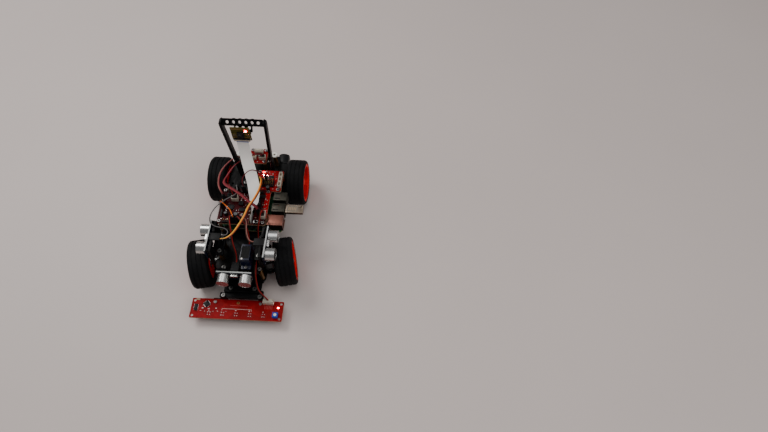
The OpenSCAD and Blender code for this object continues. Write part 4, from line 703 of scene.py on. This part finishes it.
def bar_parts():
    kit = Kit("line_bar_parts", "line_sensor_board")
    z = BAR_TOP
    legs(kit, (-43.4, -107), 3.9, 3.9, z, 0.8, 7, turn=45, sides="xy")
    legs(kit, (-56.7, -112.5), 2.3, 0, z, 1.27, 7)
    # Red disc under the LED that glows: painted glow.
    kit.lathe((51.6, -108, z), UP, [(0, 0), (1.5, 0), (1.5, 0.3), (0, 0.3)], LED_GLOW_PATCH)
    kit.box((50.9, -108.5, z + 0.3), (52.3, -107.5, z + 0.9), LED_WHITE)
    kit.box((-58.5, -101.8, z), (-53.5, -99.8, z + 0.6), BEIGE)
    kit.lathe((-2.1, -103.6, z), UP, [(0, 0), (2, 0), (2, 0.08), (0, 0.08)], OLIVE)
    kit.lathe((-2.1, -103.6, z + 0.05), UP, [(0, 0), (1.1, 0), (1.1, 0.06), (0, 0.06)], SILK_DARK)
    kit.box((-22.3, -112.7, z), (17, -112.2, z + PRINT_H), SILK, bevel=0)
    for x in (-22.3, 16.5):
        kit.box((x, -115, z), (x + 0.5, -112.2, z + PRINT_H), SILK, bevel=0)
    kit.box((-12.1, -107.7, z), (11.2, -107.4, z + PRINT_H), SILK_FAINT, bevel=0)
    for i in range(6):
        x = 33.6 + 1.9 * i
        kit.box((x, -110.4, z), (x + 0.45, -105.6, z + PRINT_H), SILK_FAINT, bevel=0)
    for x in (-38.5, -20.5, -2.5, 15.5, 33.5):
        for side in (-1, 1):
            at = x + side * 2.9
            kit.box((at - 0.25, -122.5, z), (at + 0.25, -117, z + PRINT_H), SILK_DARK, bevel=0)
            for y in (-121.6, -118):
                kit.lathe((x + side * 1.4, y, z), UP, [(0, 0), (0.62, 0), (0.3, 0.35), (0, 0.4)], TIN, 10)
        kit.box((x - 3.1, -122.9, z), (x + 3.1, -122.4, z + PRINT_H), SILK_DARK, bevel=0)
    for x, y in ((-47.6, -112.9), (-39.6, -113.8), (-3.6, -114.6), (14.3, -114.6), (32.7, -115.2),
                 (-30, -112.5)):
        chip_part(kit, x, y, z, 1.8, 0.9, 0.5, SILK, x < 0)
    for i in range(7):
        chip_part(kit, -50 + 5.6 * i, -116.6 - 0.6 * (i % 2), z, 1.2, 0.6, 0.35, CHIP, i % 2 == 0)
    pins(kit, 38, -101.6, z + 1.5, z + 5, 4, 1, 2.5)
    kit.done()


def hat_parts():
    """Driver board: chip legs, small parts, capacitors, coils and the pins that stand in the strips."""
    kit = Kit("driver_hat_parts", "driver_hat_board")
    z = HAT_TOP
    legs(kit, (-20, 7.5), 4.3, 0, z, 1.27, 5)
    legs(kit, (-4, 4.5), 4.3, 0, z, 1.27, 4)
    legs(kit, (20, 26.5), 4.3, 0, z, 1.27, 4)
    keep = [(-24, 4, -16, 11), (-8, 2, 0, 7), (16, 24, 24, 29), (-32, -9, -28, 26), (-28, -18, 5, -14),
            (-28, 31, 21, 35), (17, -4, 23, 0), (-21, 16, -11, 24), (22, -10, 30, 2), (8, -17, 12, 7),
            (14, -18, 30, -11), (-35, 31, -29, 38), (22, 31, 30, 38)]
    cans = ((-10, -6, 3.1, 6.5), (-2.5, -7.5, 2.5, 5.5), (17.5, 12, 3.2, 6.5), (4, 26, 2.6, 6),
            (-24, -4, 2.5, 5.5))
    for x, y, r, h in cans:
        round_can(kit, x, y, z, r, h)
        keep.append((x - r, y - r, x + r, y + r))
    coils = ((15.5, 18.5), (-7, 14), (-24.5, 26), (5, 14.5))
    for x, y in coils:
        kit.box((x - 3.2, y - 3.2, z), (x + 3.2, y + 3.2, z + 3), CHIP, bevel=0.5)
        kit.lathe((x, y, z + 3), UP, [(0, 0), (2, 0), (1.9, 0.05), (0, 0.05)], MESH)
        keep.append((x - 3.2, y - 3.2, x + 3.2, y + 3.2))
    scatter(kit, (-31, -12), (25, 30), z, 60, keep)
    pins(kit, -30.25, 13, z + STRIP_H, z + STRIP_PIN_H, 1, 6)
    pins(kit, -22, -15.75, z + STRIP_H, z + STRIP_PIN_H, 4, 1)
    pins(kit, 1.5, -15.75, z + STRIP_H, z + STRIP_PIN_H, 2, 1)
    pins(kit, -24.5, 32.8, z + STRIP_H, z + STRIP_PIN_H, 3, 2, 1.4)
    pins(kit, 10, 32.8, z + STRIP_H, z + STRIP_PIN_H, 7, 1)
    pins(kit, -16, 20, z + 1.5, z + 6, 3, 1, 2.0)
    # Bare right edge of the driver board in a brighter red: painted light.
    kit.box((23.3, -7, z), (29.8, 34.2, z + 0.05), LIT_RED_MARGIN, bevel=0)
    kit.box((23.5, 5, z), (29.6, 6, z + 0.1), SILK_FAINT, bevel=0)
    for y in (-11.5, 9, 15, 21):
        chip_part(kit, 27, y, z, 1.6, 0.8, 0.5, SILK if y > 10 else CHIP, False)
    kit.done()


def rear_board_parts():
    kit = Kit("servo_driver_parts", "pwm_board")
    z = SMALL_TOP
    legs(kit, (24, 63.2), 0, 2.8, z, 0.8, 11, sides="y")
    keep = [(10, 47, 31, 58), (6, 47, 10, 65), (19, 60, 29, 66.5), (35, 45, 42, 70), (5, 40, 11, 46),
            (35, 40, 42, 46), (5, 69, 11, 75), (35, 69, 42, 75), (12, 64, 18, 70)]
    round_can(kit, 24, 43, z, 2.6, 6.5)
    keep.append((21, 40, 27, 46))
    scatter(kit, (8, 42), (34, 73), z, 22, keep)
    for i in range(4):
        pins(kit, 20.6, 48.3 + 2.7 * i, z + STRIP_H, z + 8, 8, 1)
    pins(kit, 7.55, 56, z + STRIP_H, z + 8, 1, 6)
    kit.box((13.4, 66, z), (15.4, 67.3, z + 0.8), LED_WHITE)
    kit.box((18.9, 65.9, z + 0.1), (20, 66.7, z + 0.8), LED_HOT)
    # Red patch that glows beside the LEDs: painted glow.
    kit.box((11.5, 70.5, z), (15.5, 73.5, z + 0.4), LED_GLOW_PATCH)
    for y in (49.7, 57.5, 65.3):
        pins(kit, 38.7, y, z + 1, z + 4.5, 1, 3, 2)
    kit.done()
    kit = Kit("motor_driver_parts", "motor_driver_board")
    legs(kit, (1, 101), 4.5, 0, z, 0.65, 6)
    scatter(kit, (-9, 89), (12, 112), z, 14, [(-10, 91, 13, 104), (-5, 103, 8, 109), (-11, 87, -5, 93),
                                              (8, 87, 14, 93), (-11, 107, -5, 113), (8, 107, 14, 113)])
    pins(kit, -5, 95.5, z + 1, z + 5, 3, 1, 2.2)
    pins(kit, 1.5, 106, z + 1, z + 5, 4, 1, 2.4)
    kit.box((-3, 104.4, z + 1.5), (6, 107.6, z + 7), CREAM, bevel=0.25)
    kit.done()


# place of each board's front face, turn about Z in degrees, distance between its two cans in mm
SONARS = (((-2.5, -83, 52), 0, 29), ((40, -53, 84), 90, 26), ((-35.5, -48, 84), -90, 26))
GRILLE_Y = -11.2
BOARD_BACK = 1.6


def sonar_parts():
    kit = Kit("sonar_parts", "sonar_boards")
    for place, angle, pitch in SONARS:
        kit.turn = Matrix.Translation(Vector(place)) @ Matrix.Rotation(math.radians(angle), 4, "Z")
        for side in (-1, 1):
            centre = Vector((side * pitch / 2, GRILLE_Y, 0))
            kit.lathe(centre, FRONT, [(0, 0), (7.0, 0), (7.0, 0.1), (4.5, 0.3), (0, 0.35)], MESH, 32)
            lip = centre + Vector((0, -0.15, 0))
            kit.lathe(lip, FRONT, [(6.7, 0), (7.05, 0), (7.05, 0.4), (6.7, 0.4)], CAN, 32)
        for x in (-14, 0, 13):
            kit.box((x - 3, BOARD_BACK, -4), (x + 3, 3.0, 1.2), CHIP)
            for i in range(6):
                left = x - 2.7 + i * 1.0
                right = x - 2.4 + i * 1.0
                for edge in (-4.6, 1.4):
                    kit.box((left, BOARD_BACK, edge), (right, 2.1, edge + 0.5), TIN, bevel=0.04)
        for i in range(9):
            x = -19 + 4.7 * i
            kit.box((x, BOARD_BACK, -7.4), (x + 1.5, 2.1, -6.6), BEIGE if i % 3 else CHIP, bevel=0.06)
        for i in range(4):
            x = (i - 1.5) * PIN_PITCH
            kit.box((x - PIN_HALF, BOARD_BACK, 6.5), (x + PIN_HALF, 4.6, 7.2), GOLD, bevel=0.1)
            kit.lathe((x, -0.02, 6.85), FRONT, [(0, 0), (0.8, 0), (0.4, 0.7), (0, 0.9)], TIN, 12)
    kit.turn = Matrix.Identity(4)
    kit.done()


def camera_parts():
    kit = Kit("camera_parts", "camera_board")
    y = 72.5
    kit.lathe((-3, y - 4.0, 149), FRONT, [(0, 0), (1.8, 0), (1.7, 0.35), (0, 0.75)],
              Look("lens_glass", (0.004, 0.006, 0.02), 0.06, vary=0.1, coat=0.8).mat, 32)
    kit.lathe((-3, y - 5.4, 149), FRONT, [(2.0, 0), (3.5, 0), (3.3, 0.25), (2.1, 0.25)], CAN_BLACK, 32)
    kit.box((3.2, y - 0.9, 154.6), (5.0, y, 156.0), LED_HOT)
    # Red disc round the camera LED that glows: painted glow.
    kit.lathe((4.1, y, 155.3), FRONT, [(0, 0), (2.3, 0), (2.3, 0.2), (0, 0.2)], LED_GLOW_PATCH)
    for z0, z1 in ((157.2, 160.2), (141.3, 143.2)):
        kit.box((-14.6, y - 0.1, z0), (8.6, y, z1), OLIVE, bevel=0)
    kit.box((-13.5, y - 2.75, 137.4), (7.5, y - 2.5, 140.2), CREAM, bevel=0.05)
    for i in range(9):
        row, column = divmod(i, 5)
        kit.box((-13.8 + 0.9 * column, y - 0.5, 145 + 2.2 * row),
                (-13.2 + 0.9 * column, y, 146.2 + 2.2 * row), CHIP if i % 2 else BEIGE, bevel=0.05)
        kit.box((4.2 + 0.95 * column, y - 0.5, 145 + 2.6 * row),
                (4.8 + 0.95 * column, y, 146.4 + 2.6 * row), BEIGE if i % 2 else CHIP, bevel=0.05)
    kit.done()


def socket_parts():
    """Tongues and contacts inside the sockets, the slots of the springs on their shells as flat black strips
    of painted shade, and the stick's cap seam.
    """
    kit = Kit("socket_parts", "computer_sockets")
    for y in (11, 29):
        for z in (60.9, 68.6):
            kit.box((38, y - 5.4, z + 1.0), (50.6, y + 5.4, z + 2.0), HOUSING, bevel=0.15)
        # Black strips on the shells: painted shade in the slots by the springs.
        kit.box((36.5, y - 4.6, 74.0), (43.5, y - 3.2, 74.12), SHADE_AND_SEAM_BLACK, bevel=0)
        kit.box((36.5, y + 3.2, 74.0), (43.5, y + 4.6, 74.12), SHADE_AND_SEAM_BLACK, bevel=0)
    for i in range(8):
        kit.box((42, -12 + 1.1 * i, 69.6), (50.5, -11.6 + 1.1 * i, 70.0), GOLD, bevel=0.08)
    kit.box((33, -14.2, 71.9), (49.5, -13.6, 71.98), SHADE_AND_SEAM_BLACK, bevel=0)
    kit.done()
    kit = Kit("stick_parts", "usb_stick")
    kit.box((54.5, 6.4, 71.98), (69.5, 15.6, 72.06), PRINT, bevel=0)
    kit.box((53.1, 4.98, 67.5), (53.4, 17.02, 72.04), SHADE_AND_SEAM_BLACK, bevel=0)
    for i in range(5):
        kit.box((57 + 2.3 * i, 8.4, 72.04), (58 + 2.3 * i, 13.6, 72.1), BEIGE, bevel=0)
    kit.done()


SCREWS = [
    (-20, -70, 51), (27, -70, 51), (-20, -24, 51), (20, -24, 51), (-14, 66, 51), (14, 66, 51),
    (-14, 104, 51), (14, 104, 51), (-31.5, -14.5, 75.6), (26.5, -14.5, 75.6), (-31.5, 34.5, 75.6),
    (26.5, 34.5, 75.6), (8.5, 43, 69.6), (37.5, 43, 69.6), (8.5, 72, 69.6), (37.5, 72, 69.6),
    (-8, 90, 69.6), (11, 90, 69.6), (-8, 110, 69.6), (11, 110, 69.6), (-23.5, -57, 72),
    (-23.5, -39, 72), (28, -62, 72), (28, -44, 72), (-21, -97.6, 25), (27, -97.6, 25), (-12, -88, 28),
    (19, -88, 28)]


def screw_slots():
    """A cross recess in the top of each screw head, drawn as a flat black cross: painted shade in the recess.
    """
    kit = Kit("screw_recesses", "chassis_screws")
    for i, (x, y, z) in enumerate(SCREWS):
        turn = (i * 37) % 90
        for a in (turn, turn + 90):
            kit.box((x - 1.25, y - 0.24, z - 0.02), (x + 1.25, y + 0.24, z + 0.03), SHADE_AND_SEAM_BLACK, bevel=0, turn=a)
    kit.done()


def servo_parts():
    kit = Kit("servo_parts", "servo_case")
    for z in (58.0, 72.4):
        kit.box((5.84, -71.96, z), (18.16, -49.04, z + 0.25), SHADE_AND_SEAM_BLACK, bevel=0)
    kit.box((6.6, -69.5, 76.98), (17.4, -52, 77.05), BLACK, bevel=0)
    kit.lathe((8.8, -70.2, 77), UP, [(0, 0), (1.2, 0), (1.1, 0.5), (0, 0.55)], NYLON, 16)
    kit.done()


bar_parts()
hat_parts()
rear_board_parts()
sonar_parts()
camera_parts()
socket_parts()
screw_slots()
servo_parts()
